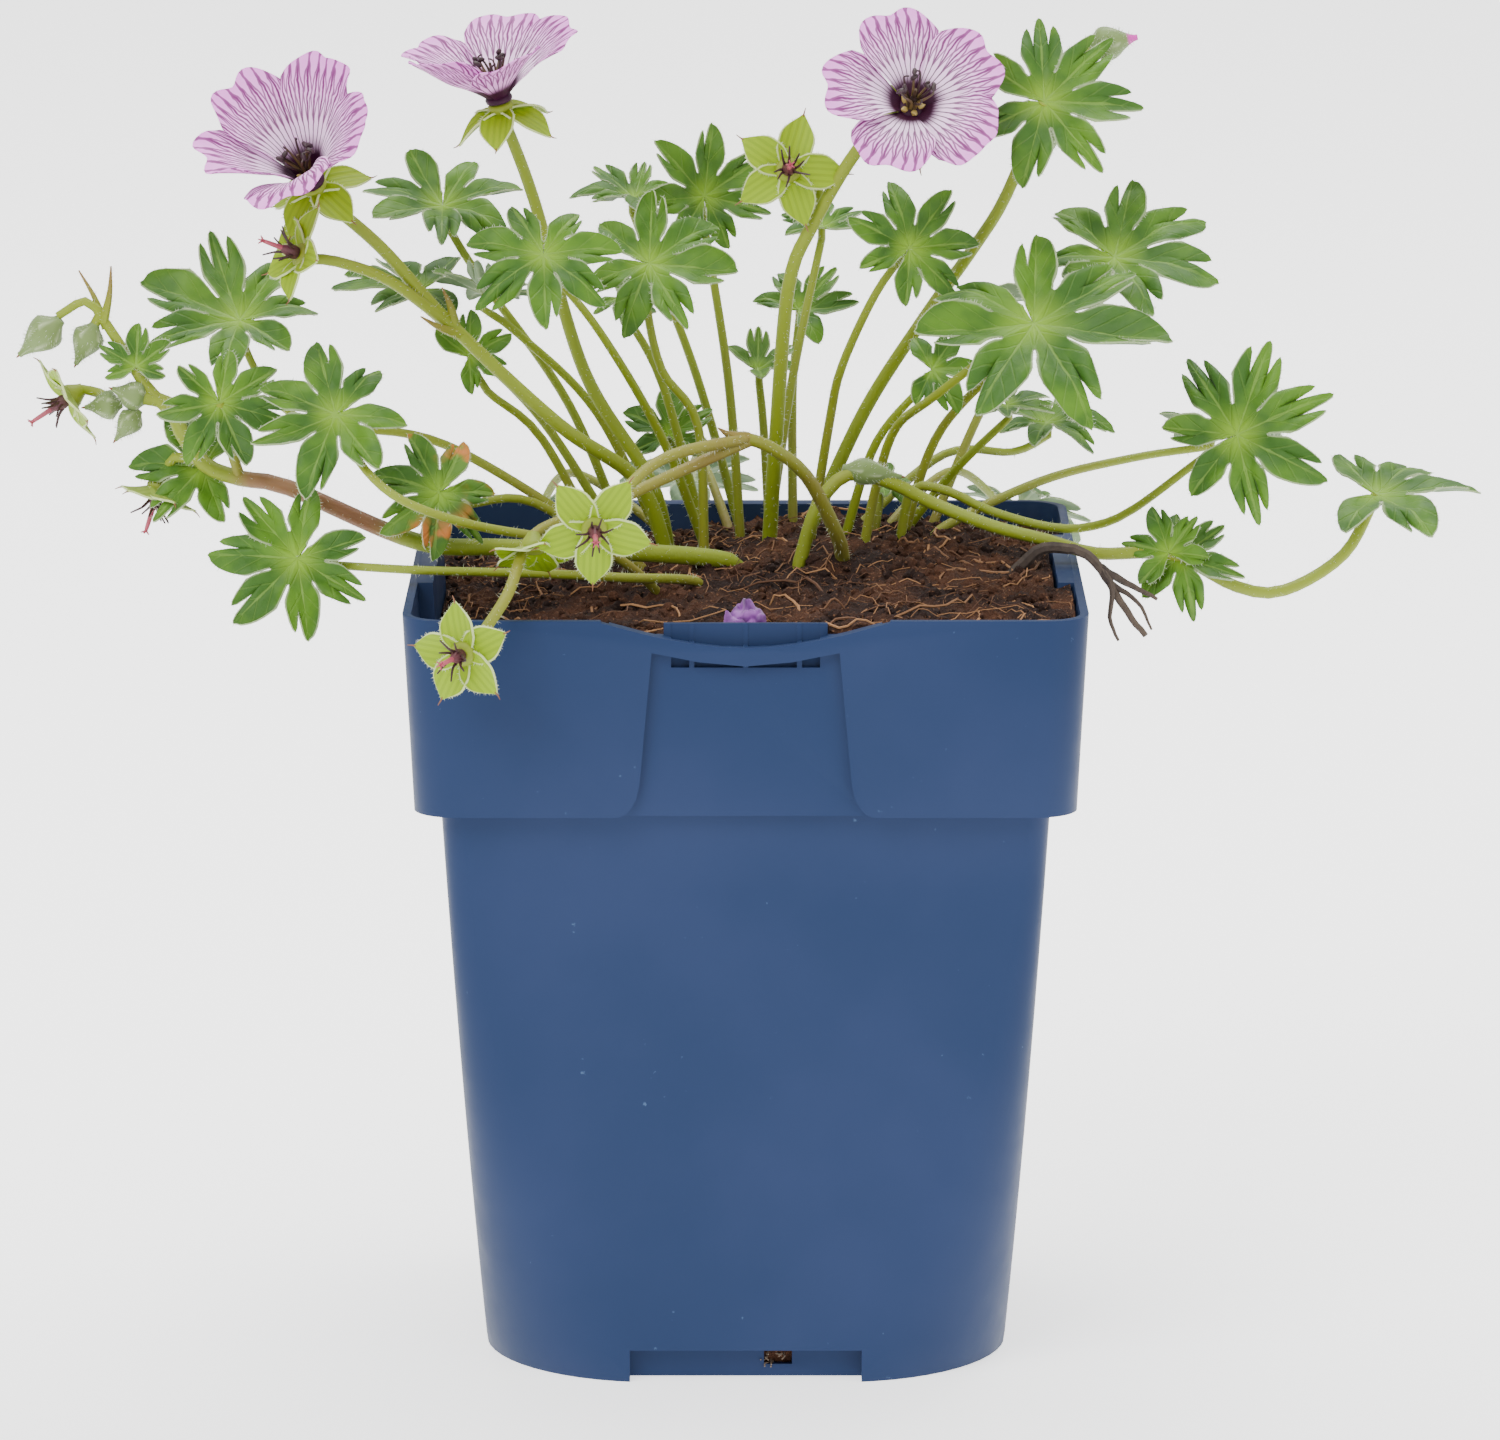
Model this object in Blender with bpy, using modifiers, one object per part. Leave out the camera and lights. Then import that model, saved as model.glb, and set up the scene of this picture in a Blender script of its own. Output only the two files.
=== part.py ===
"""A hardy geranium growing in its square nursery pot.

Lengths are in millimetres and become metres where a mesh is made. The origin is the centre of
the pot's underside, +Z is up and -Y is the pot's front, where the label tongue stands.
"""

import math
import random

import bmesh
import bpy
from mathutils import Matrix, Vector, noise

MM = 0.001
GAP = 0.3

# Pot: a tapered body, and a collar that stands out from it round the rim
POT_HEIGHT = 129.4
RIM_HALF = 55.0
COLLAR_FOOT = 97.0
COLLAR_FOOT_HALF = 53.4
BODY_FOOT_HALF = 43.3
BODY_TAPER = 0.060
BASE_CORNER = 28.4
TOP_CORNER = 3.7
COLLAR_CORNER = 7.0
WALL = 1.3
PANEL_TOP_WIDTH = 30.0
PANEL_WIDTH = 34.0
PANEL_FOOT = 41.0
PANEL_TOP = 124.2
PANEL_DEPTH = 1.6
LIP_WALL = 1.4
SLOT_WIDTH = 1.3
TONGUE_BACK = 3.9
TONGUE_WIDTH = 24.6
TONGUE_TOP = 128.5
SLOT_FLOOR = 121.5
RIB = 0.8
NOTCH_WIDTH = 38.0
NOTCH_HEIGHT = 5.5
NOTCH_DEPTH = 4.0
DRAIN_RADIUS = 3.5
DRAIN_PLACE = 26.0

# Soil
SOIL_LEVEL = 125.8
HOLE_CLEARANCE = 0.3
HOLE_DEPTH = 4.0
STEM_IN_SOIL = 3.4

# Growth
BLADE = 0.6
PETIOLE = 0.8
SEPAL_LENGTH = 9.6
SEPAL_WIDTH = 4.6
PETALS = 5
CLAW = 1.5

FINISHES = {
    "pot_plastic": ((0.056, 0.108, 0.223), 0.42),
    "peat": ((0.035, 0.020, 0.012), 0.95),
    "leaf": ((0.085, 0.210, 0.030), 0.60),
    "stem": ((0.260, 0.330, 0.070), 0.60),
    "petal": ((0.830, 0.600, 0.800), 0.50),
    "stamen": ((0.030, 0.006, 0.016), 0.50),
    "fallen_petal": ((0.300, 0.060, 0.330), 0.60),
}

# Each leaf: foot in the soil, points its stalk passes, blade base, tilt from level and the
# direction it tilts towards, spin of the middle lobe from straight downhill, lobe length,
# number of lobes, rise of the lobes and curl of their tips
LEAVES = {
    "leaf_01": ((11, 18), [(14, 14, 150), (16, 10, 160), (21.5, 5, 173)], (27, 2, 181), 68, -80, 140, 12.5, 7, 8, 0.10),
    "leaf_02": ((27, 25), [(33, 20, 148), (48, 10, 165), (57, 6, 174)], (61, 5, 179), 35, -90, 70, 18.0, 7, 14, 0.10),
    "leaf_03": ((20, 14), [(22, 13, 140), (25, 8, 150), (31, -3, 157), (42, -12, 167)], (47, -15, 171), 40, -90, 25, 23.0, 7, 6, 0.14),
    "leaf_04": ((26, 18), [(28, 17, 138), (34, 15, 138), (41, 13, 135), (51, 10, 132.8), (58, 8, 133.4), (64.5, 4, 137), (76, -2, 147)], (81, -5, 151), 70, -98, 115, 17.0, 7, 6, 0.10),
    "leaf_05": ((20, 36), [(34, 46, 139), (46, 54, 138)], (52, 60, 142), 14, -90, 90, 12.5, 7, 10, 0.10),
    "leaf_06": ((17, 22), [(22, 18, 146)], (31, 10, 159.5), 58, -90, 90, 9.0, 5, 6, 0.10),
    "leaf_07": ((4, 36), [(3, 38, 145)], (2, 40, 154.5), 20, -90, 120, 8.5, 5, 22, 0.10),
    "leaf_08": ((-1, 28), [(-3, 29, 155)], (-7, 32, 185.5), 72, -72, 172, 13.0, 7, 12, 0.05),
    "leaf_09": ((4, 28), [(8, 32, 155)], (13, 40, 179), 25, -90, 180, 9.0, 5, 12, 0.10),
    "leaf_10": ((8, 40), [(8, 46, 150)], (9, 52, 163), 38, -90, 140, 11.0, 5, 12, 0.10),
    "leaf_11": ((-7, 13), [(-8, 10, 150), (-14, 7, 160), (-16.5, 5, 172)], (-16, 5, 178), 50, -90, 80, 14.5, 7, 4, 0.08),
    "leaf_12": ((-7, 20), [(-14, 10, 148), (-24, -4, 168)], (-33, -12, 182), 52, -90, 0, 14.0, 7, 4, 0.08),
    "leaf_13": ((-1, 36), [(-9, 42, 155)], (-19, 47, 183), 12, -90, 270, 11.0, 7, 18, 0.06),
    "leaf_14": ((-20, 31), [(-30, 32, 150), (-45, 31, 172)], (-51, 30, 184), 26, -90, 0, 15.0, 7, 18, 0.08),
    "leaf_15": ((-14, 26), [(-25, 23, 150), (-38, 19, 164)], (-43.5, 17, 171), 22, 60, 200, 10.5, 7, 12, 0.10),
    "leaf_16": ((-20, 24), [(-34, 25, 148), (-48, 26, 162)], (-54.5, 26, 170.5), 14, -90, 270, 14.5, 5, 8, 0.10),
    "leaf_17": ((-23, 18), [(-34, 14, 147), (-43, 9, 156)], (-46, 8, 162), 60, -90, 120, 8.5, 5, 6, 0.08),
    "leaf_18": ((-18, 14), [(-50, 14, 146), (-72, 11, 150), (-80, 9, 157)], (-84, 8, 168), 32, -90, 250, 17.0, 7, 13, 0.10),
    "leaf_19": ((-15, -8), [(-22, -16, 133), (-30, -25, 137), (-44, -33, 141), (-55, -34, 145), (-61.5, -30, 149.5)], (-66.5, -24, 157.5), 50, -100, 300, 15.5, 7, 4, 0.08),
    "leaf_20": ((-8, -6), [(-20, -18, 129.5), (-33, -25, 131.5), (-54, -27, 132.5)], (-73, -25, 134), 72, -95, 320, 15.5, 7, 2, 0.06),
    "leaf_21": ((-18, 8), [(-35, -4, 139.5), (-46, -14, 141)], (-50, -20, 144), 62, -80, 300, 12.5, 7, 4, 0.06),
    "leaf_22": ((-7, 26), [(-14, 22, 155)], (-21, 20, 170), 30, -90, 60, 7.5, 5, 4, 0.15),
    "leaf_23": ((-7, 32), [(-10, 31, 138)], (-13, 30, 145), 60, -90, 180, 9.5, 5, 8, 0.08),
    "leaf_24": ((22, 28), [(22.5, 28.5, 133)], (23, 29, 137), 28, -60, 90, 6.0, 5, 8, 0.10),
    "leaf_25": ((28, 32), [(36, 28, 140)], (44, 25, 151), 20, -90, 60, 8.5, 5, 8, 0.10),
    "leaf_26": ((-13, 38), [(-30, 56, 134)], (-38, 78, 122), 52, 95, 0, 16.0, 5, 4, 0.08),
    "leaf_27": ((-3, 44), [(-8, 60, 136)], (-10, 86, 128), 40, 90, 0, 15.0, 5, 6, 0.10),
    "leaf_28": ((25, 42), [(36, 58, 134)], (48, 80, 124), 45, 60, 340, 15.0, 5, 6, 0.10),
    "leaf_29": ((32, 38), [(42, 46, 150)], (53, 55, 164), 12, 90, 40, 13.0, 5, 8, 0.12),
    "leaf_30": ((33, 27), [(50, 36, 136), (66, 42, 139)], (80, 45, 143), 22, 60, 0, 13.0, 5, 8, 0.12),
}

# Each open flower: centre, axis, petal length, rise of the petals, turn of the first petal
BLOOMS = {
    "left": ((-71, -5, 193), (-0.32, -0.58, 0.74), 21.0, 51, 62),
    "middle": ((-40.5, 2, 205.5), (-0.22, -0.20, 0.95), 17.0, 38, 20),
    "right": ((27, -5, 205), (0.1, -0.80, 0.58), 15.6, 30, 84),
}

# Each spent flower: centre, axis, sepal length, rise of the sepals, turn of the first sepal
SPENT = {
    "centre": ((7, -1, 194.5), (0.05, -0.97, 0.25), 9.6, 12, 90),
    "left": ((-73.5, -10, 182), (-0.80, -0.45, 0.38), 8.5, 25, 20),
    "far_left": ((-112.5, 0, 156), (-0.80, -0.25, -0.50), 8.5, 20, 70),
    "low_left": ((-97, -6, 141.5), (-0.30, -0.15, -0.94), 7.5, 32, 10),
    "front": ((-24, -55, 144), (0.05, -0.97, -0.10), 9.6, 8, 74),
    "hanging": ((-45, -68, 126.5), (-0.42, -0.88, -0.05), 8.8, 18, 120),
}


def finish(name):
    """The named finish as a Principled material, made once."""
    found = bpy.data.materials.get(name)
    if found:
        return found
    colour, roughness = FINISHES[name]
    material = bpy.data.materials.new(name)
    material.use_nodes = True
    shader = material.node_tree.nodes["Principled BSDF"]
    shader.inputs["Base Color"].default_value = (*colour, 1.0)
    shader.inputs["Roughness"].default_value = roughness
    shader.inputs["Metallic"].default_value = 0.0
    return material


def clear_scene():
    """Removes what a new scene holds."""
    for item in list(bpy.data.objects):
        bpy.data.objects.remove(item)


def new_collection(name):
    """A collection linked to the scene."""
    made = bpy.data.collections.new(name)
    bpy.context.scene.collection.children.link(made)
    return made


def add_mesh(name, points, faces):
    """An object in the workshop collection from points in millimetres."""
    mesh = bpy.data.meshes.new(name)
    mesh.from_pydata([Vector(point) * MM for point in points], [], faces)
    made = bpy.data.objects.new(name, mesh)
    WORKSHOP.objects.link(made)
    return made


def evaluated_mesh(item):
    """The object's mesh with its modifiers applied, in world space, welded where caps meet."""
    bpy.context.view_layer.update()
    graph = bpy.context.evaluated_depsgraph_get()
    mesh = bpy.data.meshes.new_from_object(item.evaluated_get(graph))
    mesh.transform(item.matrix_world)
    work = bmesh.new()
    work.from_mesh(mesh)
    bmesh.ops.remove_doubles(work, verts=work.verts, dist=1e-6)
    bmesh.ops.recalc_face_normals(work, faces=work.faces)
    work.to_mesh(mesh)
    work.free()
    return mesh


def baked(item):
    """The object as a plain mesh object; the one it came from is removed."""
    mesh = evaluated_mesh(item)
    made = bpy.data.objects.new(item.name + "_made", mesh)
    WORKSHOP.objects.link(made)
    bpy.data.objects.remove(item)
    return made


def combine(base, others, operation, solver="EXACT"):
    """The base joined with, cut by or limited to the others, which are removed."""
    if not others:
        return base
    group = bpy.data.collections.new("operands")
    bpy.context.scene.collection.children.link(group)
    for other in others:
        group.objects.link(other)
    step = base.modifiers.new("combine", "BOOLEAN")
    step.operation = operation
    step.operand_type = "COLLECTION"
    step.collection = group
    step.solver = solver
    made = baked(base)
    for other in others:
        bpy.data.objects.remove(other)
    bpy.data.collections.remove(group)
    return made


def place(item, name, material):
    """Moves a finished solid into the object's collection under its name."""
    item.name = name
    item.data.name = name
    item.data.materials.clear()
    item.data.materials.append(finish(material))
    item.data.shade_smooth()
    item.data.set_sharp_from_angle(angle=math.radians(40))
    PLANT.objects.link(item)
    WORKSHOP.objects.unlink(item)


def smooth_path(points, spacing):
    """Points along a Catmull-Rom curve through the given ones, about spacing apart."""
    knots = [Vector(point) for point in points]
    knots = [knots[0] * 2 - knots[1], *knots, knots[-1] * 2 - knots[-2]]
    path = [knots[1]]
    for before, start, end, after in zip(knots, knots[1:], knots[2:], knots[3:]):
        steps = max(1, round((end - start).length / spacing))
        for step in range(1, steps + 1):
            t = step / steps
            path.append(
                0.5
                * (
                    2 * start
                    + (end - before) * t
                    + (2 * before - 5 * start + 4 * end - after) * t * t
                    + (3 * start - before - 3 * end + after) * t * t * t
                )
            )
    return path


def tube(path, first_radius, last_radius, sides=6):
    """A round stalk along the path, narrowing from its first radius to its last."""
    data = bpy.data.curves.new("stalk", "CURVE")
    data.dimensions = "3D"
    data.bevel_depth = MM
    data.bevel_resolution = (sides - 4) // 2
    data.use_fill_caps = True
    spline = data.splines.new("POLY")
    spline.points.add(len(path) - 1)
    for index, (knot, point) in enumerate(zip(spline.points, path)):
        share = index / (len(path) - 1)
        knot.co = (*(Vector(point) * MM), 1)
        knot.radius = first_radius + (last_radius - first_radius) * share
    made = bpy.data.objects.new("stalk", data)
    WORKSHOP.objects.link(made)
    return baked(made)


def cone(start, end, first_radius, last_radius, sides):
    """A straight tapered peg from one point to another."""
    start, end = Vector(start), Vector(end)
    mesh = bpy.data.meshes.new("peg")
    work = bmesh.new()
    bmesh.ops.create_cone(
        work,
        cap_ends=True,
        segments=sides,
        radius1=first_radius * MM,
        radius2=last_radius * MM,
        depth=(end - start).length * MM,
    )
    turn = (end - start).to_track_quat("Z", "Y").to_matrix().to_4x4()
    work.transform(Matrix.Translation((start + end) * 0.5 * MM) @ turn)
    work.to_mesh(mesh)
    work.free()
    made = bpy.data.objects.new("peg", mesh)
    WORKSHOP.objects.link(made)
    return made


def box(low, high):
    """A block between two corners."""
    low, high = Vector(low), Vector(high)
    bpy.ops.mesh.primitive_cube_add(size=1.0, location=(low + high) * 0.5 * MM)
    made = bpy.context.object
    made.scale = (high - low) * MM
    for group in list(made.users_collection):
        group.objects.unlink(made)
    WORKSHOP.objects.link(made)
    return baked(made)


def thickened(item, thickness=BLADE):
    """An open sheet given its thickness, half to each side."""
    step = item.modifiers.new("thickness", "SOLIDIFY")
    step.thickness = thickness * MM
    step.offset = 0.0
    return baked(item)


def strip_faces(rows, columns):
    """Triangles over a grid of points, split alike all over."""
    faces = []
    for row in range(rows - 1):
        for column in range(columns - 1):
            corner = row * columns + column
            faces.append((corner, corner + 1, corner + columns + 1))
            faces.append((corner, corner + columns + 1, corner + columns))
    return faces


def rounded_square(half, radius, z, steps=4):
    """The points of a square with round corners at one height, anticlockwise from above."""
    ring = []
    for corner in range(4):
        for step in range(steps + 1):
            angle = math.radians(90 * corner + 90 * step / steps)
            sign_x = 1 if corner in (0, 3) else -1
            sign_y = 1 if corner in (0, 1) else -1
            ring.append(
                (
                    sign_x * (half - radius) + radius * math.cos(angle),
                    sign_y * (half - radius) + radius * math.sin(angle),
                    z,
                )
            )
    return ring


def loft(rings):
    """A closed solid through rings of equal count, from the lowest up."""
    count = len(rings[0])
    points = [point for ring in rings for point in ring]
    faces = [tuple(reversed(range(count))), tuple(range(len(points) - count, len(points)))]
    for level in range(len(rings) - 1):
        for index in range(count):
            after = (index + 1) % count
            low, high = level * count, (level + 1) * count
            faces.append((low + index, low + after, high + after, high + index))
    return add_mesh("loft", points, faces)


def body_half(z):
    """Half the body's width at a height."""
    return BODY_FOOT_HALF + BODY_TAPER * z


def body_corner(z):
    """The body's corner radius at a height: wide at the base, tight under the collar."""
    share = min(1.0, max(0.0, 1 - z / COLLAR_FOOT))
    return TOP_CORNER + (BASE_CORNER - TOP_CORNER) * share**2.2


def collar_half(z):
    """Half the collar's width at a height."""
    rise = (z - COLLAR_FOOT) / (POT_HEIGHT - COLLAR_FOOT)
    return COLLAR_FOOT_HALF + (RIM_HALF - COLLAR_FOOT_HALF) * rise


def four_sides(low, high):
    """Copies of a block at the front, turned to all four sides."""
    made = []
    for turn in range(4):
        block = box(low, high)
        block.data.transform(Matrix.Rotation(math.radians(90 * turn), 4, "Z"))
        made.append(block)
    return made


def collar_loft(inset, low, high, steps=4):
    """The collar's outline drawn in by an inset, as a solid between two heights."""
    corner = max(COLLAR_CORNER - inset, 2.0)
    return loft([rounded_square(collar_half(z) - inset, corner, z, steps) for z in (low, high)])


def body_loft(inset, heights, steps=4):
    """The body's outline drawn in by an inset, as a solid through the given heights."""
    rings = []
    for z in heights:
        corner = max(body_corner(z) - inset, 1.5)
        rings.append(rounded_square(body_half(z) - inset, corner, z, steps))
    return loft(rings)


def cavity(clear, top, steps=4):
    """The pot's inside as a solid, drawn in by a clearance and running up to a height."""
    inset = WALL + clear
    body = body_loft(inset, (inset, 22, 52, top), steps)
    ledge = COLLAR_FOOT + LIP_WALL + clear
    corners = collar_loft(LIP_WALL + clear, ledge, top, steps)
    reach = PANEL_FOOT / 2 + WALL + clear
    corners = combine(corners, four_sides((-reach, -60, 90), (reach, -40, top + 5)), "DIFFERENCE")
    inner = collar_loft(TONGUE_BACK + clear, ledge, top, steps)
    inside = combine(body, [inner, corners], "UNION")
    reach = NOTCH_WIDTH / 2 + inset
    depth = BODY_FOOT_HALF - NOTCH_DEPTH - inset
    notches = four_sides((-reach, -60, -5), (reach, -depth, NOTCH_HEIGHT + inset))
    return combine(inside, notches, "DIFFERENCE")


def prism(line, front, back):
    """A solid with the given outline across X and Z, between two depths."""
    count = len(line)
    points = [(x, front, z) for x, z in line] + [(x, back, z) for x, z in line]
    faces = [tuple(range(count)), tuple(reversed(range(count, 2 * count)))]
    for index in range(count):
        after = (index + 1) % count
        faces.append((index, index + count, after + count, after))
    return baked(add_mesh("prism", points, faces))


def panel_cutters():
    """The openings in the collar's outer skin, one a side, with the skin's round lower corners."""
    half, foot = PANEL_TOP_WIDTH / 2, PANEL_WIDTH / 2
    skin = [(-PANEL_FOOT / 2, 95), (-PANEL_FOOT / 2, COLLAR_FOOT), (-foot - 1.3, 98.6), (-foot, 102.5)]
    line = [*skin, (-half, PANEL_TOP), (0, PANEL_TOP - 2.2), (half, PANEL_TOP)]
    line += [(-x, z) for x, z in reversed(skin)]
    made = []
    for turn in range(4):
        cutter = prism(line, -60, -40)
        cutter.data.transform(Matrix.Rotation(math.radians(90 * turn), 4, "Z"))
        made.append(cutter)
    return made


def rim_cutters():
    """The dip of the front rim, the tongue's own edges and the slots behind the lips."""
    top = POT_HEIGHT + 2
    dip = [(-24, top), (-23, POT_HEIGHT - 0.3), (-16, 127.2), (-8, 125.6)]
    line = [*dip, (0, 125.0), *[(-x, z) for x, z in reversed(dip)]]
    half = TONGUE_WIDTH / 2
    slot_front = LIP_WALL - collar_half(SLOT_FLOOR)
    slot_back = slot_front + SLOT_WIDTH
    made = [prism(line, -58, slot_back - 0.1)]
    for low, high in ((-23, -half - RIB), (half + RIB, 23)):
        made.append(box((low, slot_back - 0.4, 126.6), (high, -46, top)))
    made.append(box((-half - RIB - 0.1, slot_back - 0.3, TONGUE_TOP), (half + RIB + 0.1, -46, top)))
    edges = (-half, -8.6, 0, 8.6, half)
    for low, high in zip(edges, edges[1:]):
        made.append(box((low + RIB / 2, slot_front, SLOT_FLOOR), (high - RIB / 2, slot_back, top + 2)))
    return made


def base_cutters():
    """The notches between the feet, the drains in the floor and those in the notches' walls."""
    depth = BODY_FOOT_HALF - NOTCH_DEPTH
    reach = NOTCH_WIDTH / 2
    made = four_sides((-reach, -60, -5), (reach, -depth, NOTCH_HEIGHT))
    made += four_sides((3.0, -depth - 3, 2.0), (7.6, -depth + 5, NOTCH_HEIGHT - 0.4))
    for turn in range(4):
        angle = math.radians(45 + 90 * turn)
        spot = Vector((math.cos(angle), math.sin(angle), 0)) * DRAIN_PLACE
        drop = Vector((0, 0, 5))
        made.append(cone(spot - drop, spot + drop, DRAIN_RADIUS, DRAIN_RADIUS, 8))
    return made


def build_pot():
    """The pot: body, collar with its four recessed panels, front dip, tongue, feet and drains."""
    body = body_loft(0, (0, 22, 52, POT_HEIGHT))
    skin = combine(collar_loft(0, COLLAR_FOOT, POT_HEIGHT), panel_cutters(), "DIFFERENCE")
    collar = collar_loft(PANEL_DEPTH, COLLAR_FOOT, POT_HEIGHT - 0.2)
    pot = combine(body, [collar, skin], "UNION")
    pot = combine(pot, [cavity(0.0, POT_HEIGHT + 4)], "DIFFERENCE")
    place(combine(pot, base_cutters() + rim_cutters(), "DIFFERENCE"), "pot", "pot_plastic")


def soil_height(x, y):
    """The peat's height: heaped at the crown and the right, sunk at the left and behind."""
    heap = 2.6 * math.exp(-(((x - 4) / 26) ** 2) - ((y - 20) / 24) ** 2)
    slope = 2.8 * math.tanh(x / 28)
    sunk = 3.2 * math.exp(-(((x + 52) / 15) ** 2) - ((y + 5) / 55) ** 2)
    sunk += 3.4 * math.exp(-(((x - 46) / 20) ** 2) - ((y - 52) / 15) ** 2)
    crumbs = 0.7 * noise.noise(Vector((x, y, 3)) * 0.11) + 0.5 * noise.noise(Vector((x, y, 9)) * 0.3)
    return SOIL_LEVEL + heap + slope - sunk + crumbs


def build_soil(feet):
    """The peat, with a plain hole for each stalk, and the stray root at its right."""
    count = 10
    reach = 56.0
    points = []
    for row in range(count):
        for column in range(count):
            x = -reach + 2 * reach * column / (count - 1)
            y = -reach + 2 * reach * row / (count - 1)
            points.append((x, y, soil_height(x, y)))
    faces = strip_faces(count, count)
    edge = [index for index in range(count)]
    edge += [row * count + count - 1 for row in range(1, count)]
    edge += [(count - 1) * count + index for index in range(count - 2, -1, -1)]
    edge += [row * count for row in range(count - 2, 0, -1)]
    first = len(points)
    points += [(points[index][0], points[index][1], 0.5) for index in edge]
    for index in range(len(edge)):
        after = (index + 1) % len(edge)
        faces.append((edge[index], first + index, first + after, edge[after]))
    faces.append(tuple(reversed(range(first, first + len(edge)))))
    ground = baked(add_mesh("ground", points, faces))
    soil = combine(cavity(GAP, 134.0, 2), [ground], "INTERSECT")
    root = tube(
        smooth_path(
            [(44, -7, 128), (48, -7, 131.8), (52, -7, 132.5), (56.5, -8, 131.4), (60, -9, 127), (63, -9, 122), (66, -9, 118)],
            6.0,
        ),
        1.2,
        0.7,
        4,
    )
    spur = tube(smooth_path([(58.5, -8.6, 129.3), (64, -7, 126), (68, -8, 124)], 4.0), 0.8, 0.5, 4)
    soil = combine(soil, [root, spur], "UNION")
    holes = []
    for x, y, radius in feet:
        level = soil_height(x, y)
        hole = (radius + HOLE_CLEARANCE) * math.sqrt(2)
        holes.append(cone((x, y, level - HOLE_DEPTH), (x, y, level + 6), hole, hole, 4))
    place(combine(soil, holes, "DIFFERENCE"), "peat", "peat")


def blade_frame(tilt, toward, spin):
    """The blade's own axes: along the middle lobe, across it, and out of its upper face."""
    tilt, toward, spin = math.radians(tilt), math.radians(toward), math.radians(spin)
    level = Vector((math.cos(toward), math.sin(toward), 0))
    normal = level * math.sin(tilt) + Vector((0, 0, math.cos(tilt)))
    downhill = level * math.cos(tilt) - Vector((0, 0, math.sin(tilt)))
    along = Matrix.Rotation(spin, 3, normal) @ downhill
    return along, normal.cross(along), normal


PLAIN_LOBE = [(-0.92, 0.66), (-0.40, 0.98), (0.45, 0.97), (0.92, 0.64)]
ROUND_LOBE = [(-0.90, 0.62), (-0.62, 0.93), (0.05, 1.0), (0.80, 0.88), (0.88, 0.56)]
SMALL_LOBE = [(-0.86, 0.80), (0.0, 1.0), (0.86, 0.80)]
TWO_TEETH = [(-0.85, 0.56), (-1.0, 0.85), (-0.40, 1.0), (0.08, 0.87), (0.62, 0.96), (0.90, 0.58)]
THREE_TEETH = [
    (-0.84, 0.54),
    (-1.04, 0.84),
    (-0.48, 0.82),
    (-0.05, 1.0),
    (0.44, 0.84),
    (1.0, 0.86),
    (0.84, 0.54),
]


def lobe_kinds(length):
    """The lobe outlines that a blade of this size shows."""
    if length > 16:
        return (ROUND_LOBE, TWO_TEETH, THREE_TEETH)
    if length > 14.6:
        return (ROUND_LOBE, TWO_TEETH)
    return (PLAIN_LOBE,) if length > 13.2 else (SMALL_LOBE,)


def leaf_blade(seed, base, tilt, toward, spin, length, lobes, rise, curl):
    """A cut leaf blade: lobes round the stalk, each with its own outline, parted by deep clefts."""
    draw = random.Random(seed)
    along, across, normal = blade_frame(tilt, toward, spin)
    spread = 300.0 if lobes == 7 else 230.0
    step = spread / (lobes - 1)
    rise = math.tan(math.radians(rise))
    kinds = lobe_kinds(length) if lobes == 7 else lobe_kinds(length)[:1]

    def at(angle, radius, lift=0.0):
        share = radius / length
        height = radius * rise - curl * length * share**3 + lift
        angle = math.radians(angle)
        flat = along * (radius * math.cos(angle)) + across * (radius * math.sin(angle))
        return Vector(base) + flat + normal * height

    points = [at(0, 0)]
    clefts = [-spread / 2 - step * 0.52]
    clefts += [-spread / 2 + step * (index + 0.5) for index in range(lobes - 1)]
    clefts += [spread / 2 + step * 0.52]
    cleft_points = []
    for index, angle in enumerate(clefts):
        outer = index in (0, lobes)
        cleft_points.append(len(points))
        points.append(at(angle, length * (0.14 if outer else 0.27)))
    faces = []
    for index in range(lobes):
        offset = abs(index - (lobes - 1) / 2) / ((lobes - 1) / 2)
        reach = length * (1 - 0.22 * offset**2) * draw.uniform(0.93, 1.05)
        axis = -spread / 2 + step * index + draw.uniform(-3, 3)
        width = step * 0.45
        outline = draw.choice(kinds)
        lean = draw.uniform(-0.05, 0.06) * length
        start, end = cleft_points[index], cleft_points[index + 1]
        rim = [start, *range(len(points), len(points) + len(outline)), end]
        for across_share, along_share in outline:
            lift = lean * along_share + 0.03 * length * abs(across_share)
            points.append(at(axis + width * across_share, reach * along_share, lift))
        faces += [(0, one, two) for one, two in zip(rim, rim[1:])]
    return thickened(add_mesh("blade", points, faces))


def rooted(foot, route):
    """A stalk's route from its hole: straight up out of the soil, then along the given points."""
    x, y = foot
    level = soil_height(x, y)
    start = [Vector((x, y, level - STEM_IN_SOIL)), Vector((x, y, level + 1.2))]
    return start[:1] + smooth_path([start[1], *route], 18.0)


def build_leaves():
    """Every leaf that stands on its own stalk, and the feet of those stalks."""
    feet = []
    for index, (name, row) in enumerate(LEAVES.items()):
        foot, route, base, *shape = row
        along, across, normal = blade_frame(*shape[:3])
        top = Vector(base) + along * 0.35 + across * 0.12 - normal * 0.06
        stalk = tube([*rooted(foot, [*route, top - normal * 2.4]), top], PETIOLE + 0.1, PETIOLE, 4)
        blade = leaf_blade(index, base, *shape)
        # EXACT drops some of these thin blades whole
        place(combine(blade, [stalk], "UNION", "MANIFOLD"), name, "leaf")
        feet.append((*foot, PETIOLE + 0.1))
    return feet


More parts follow.
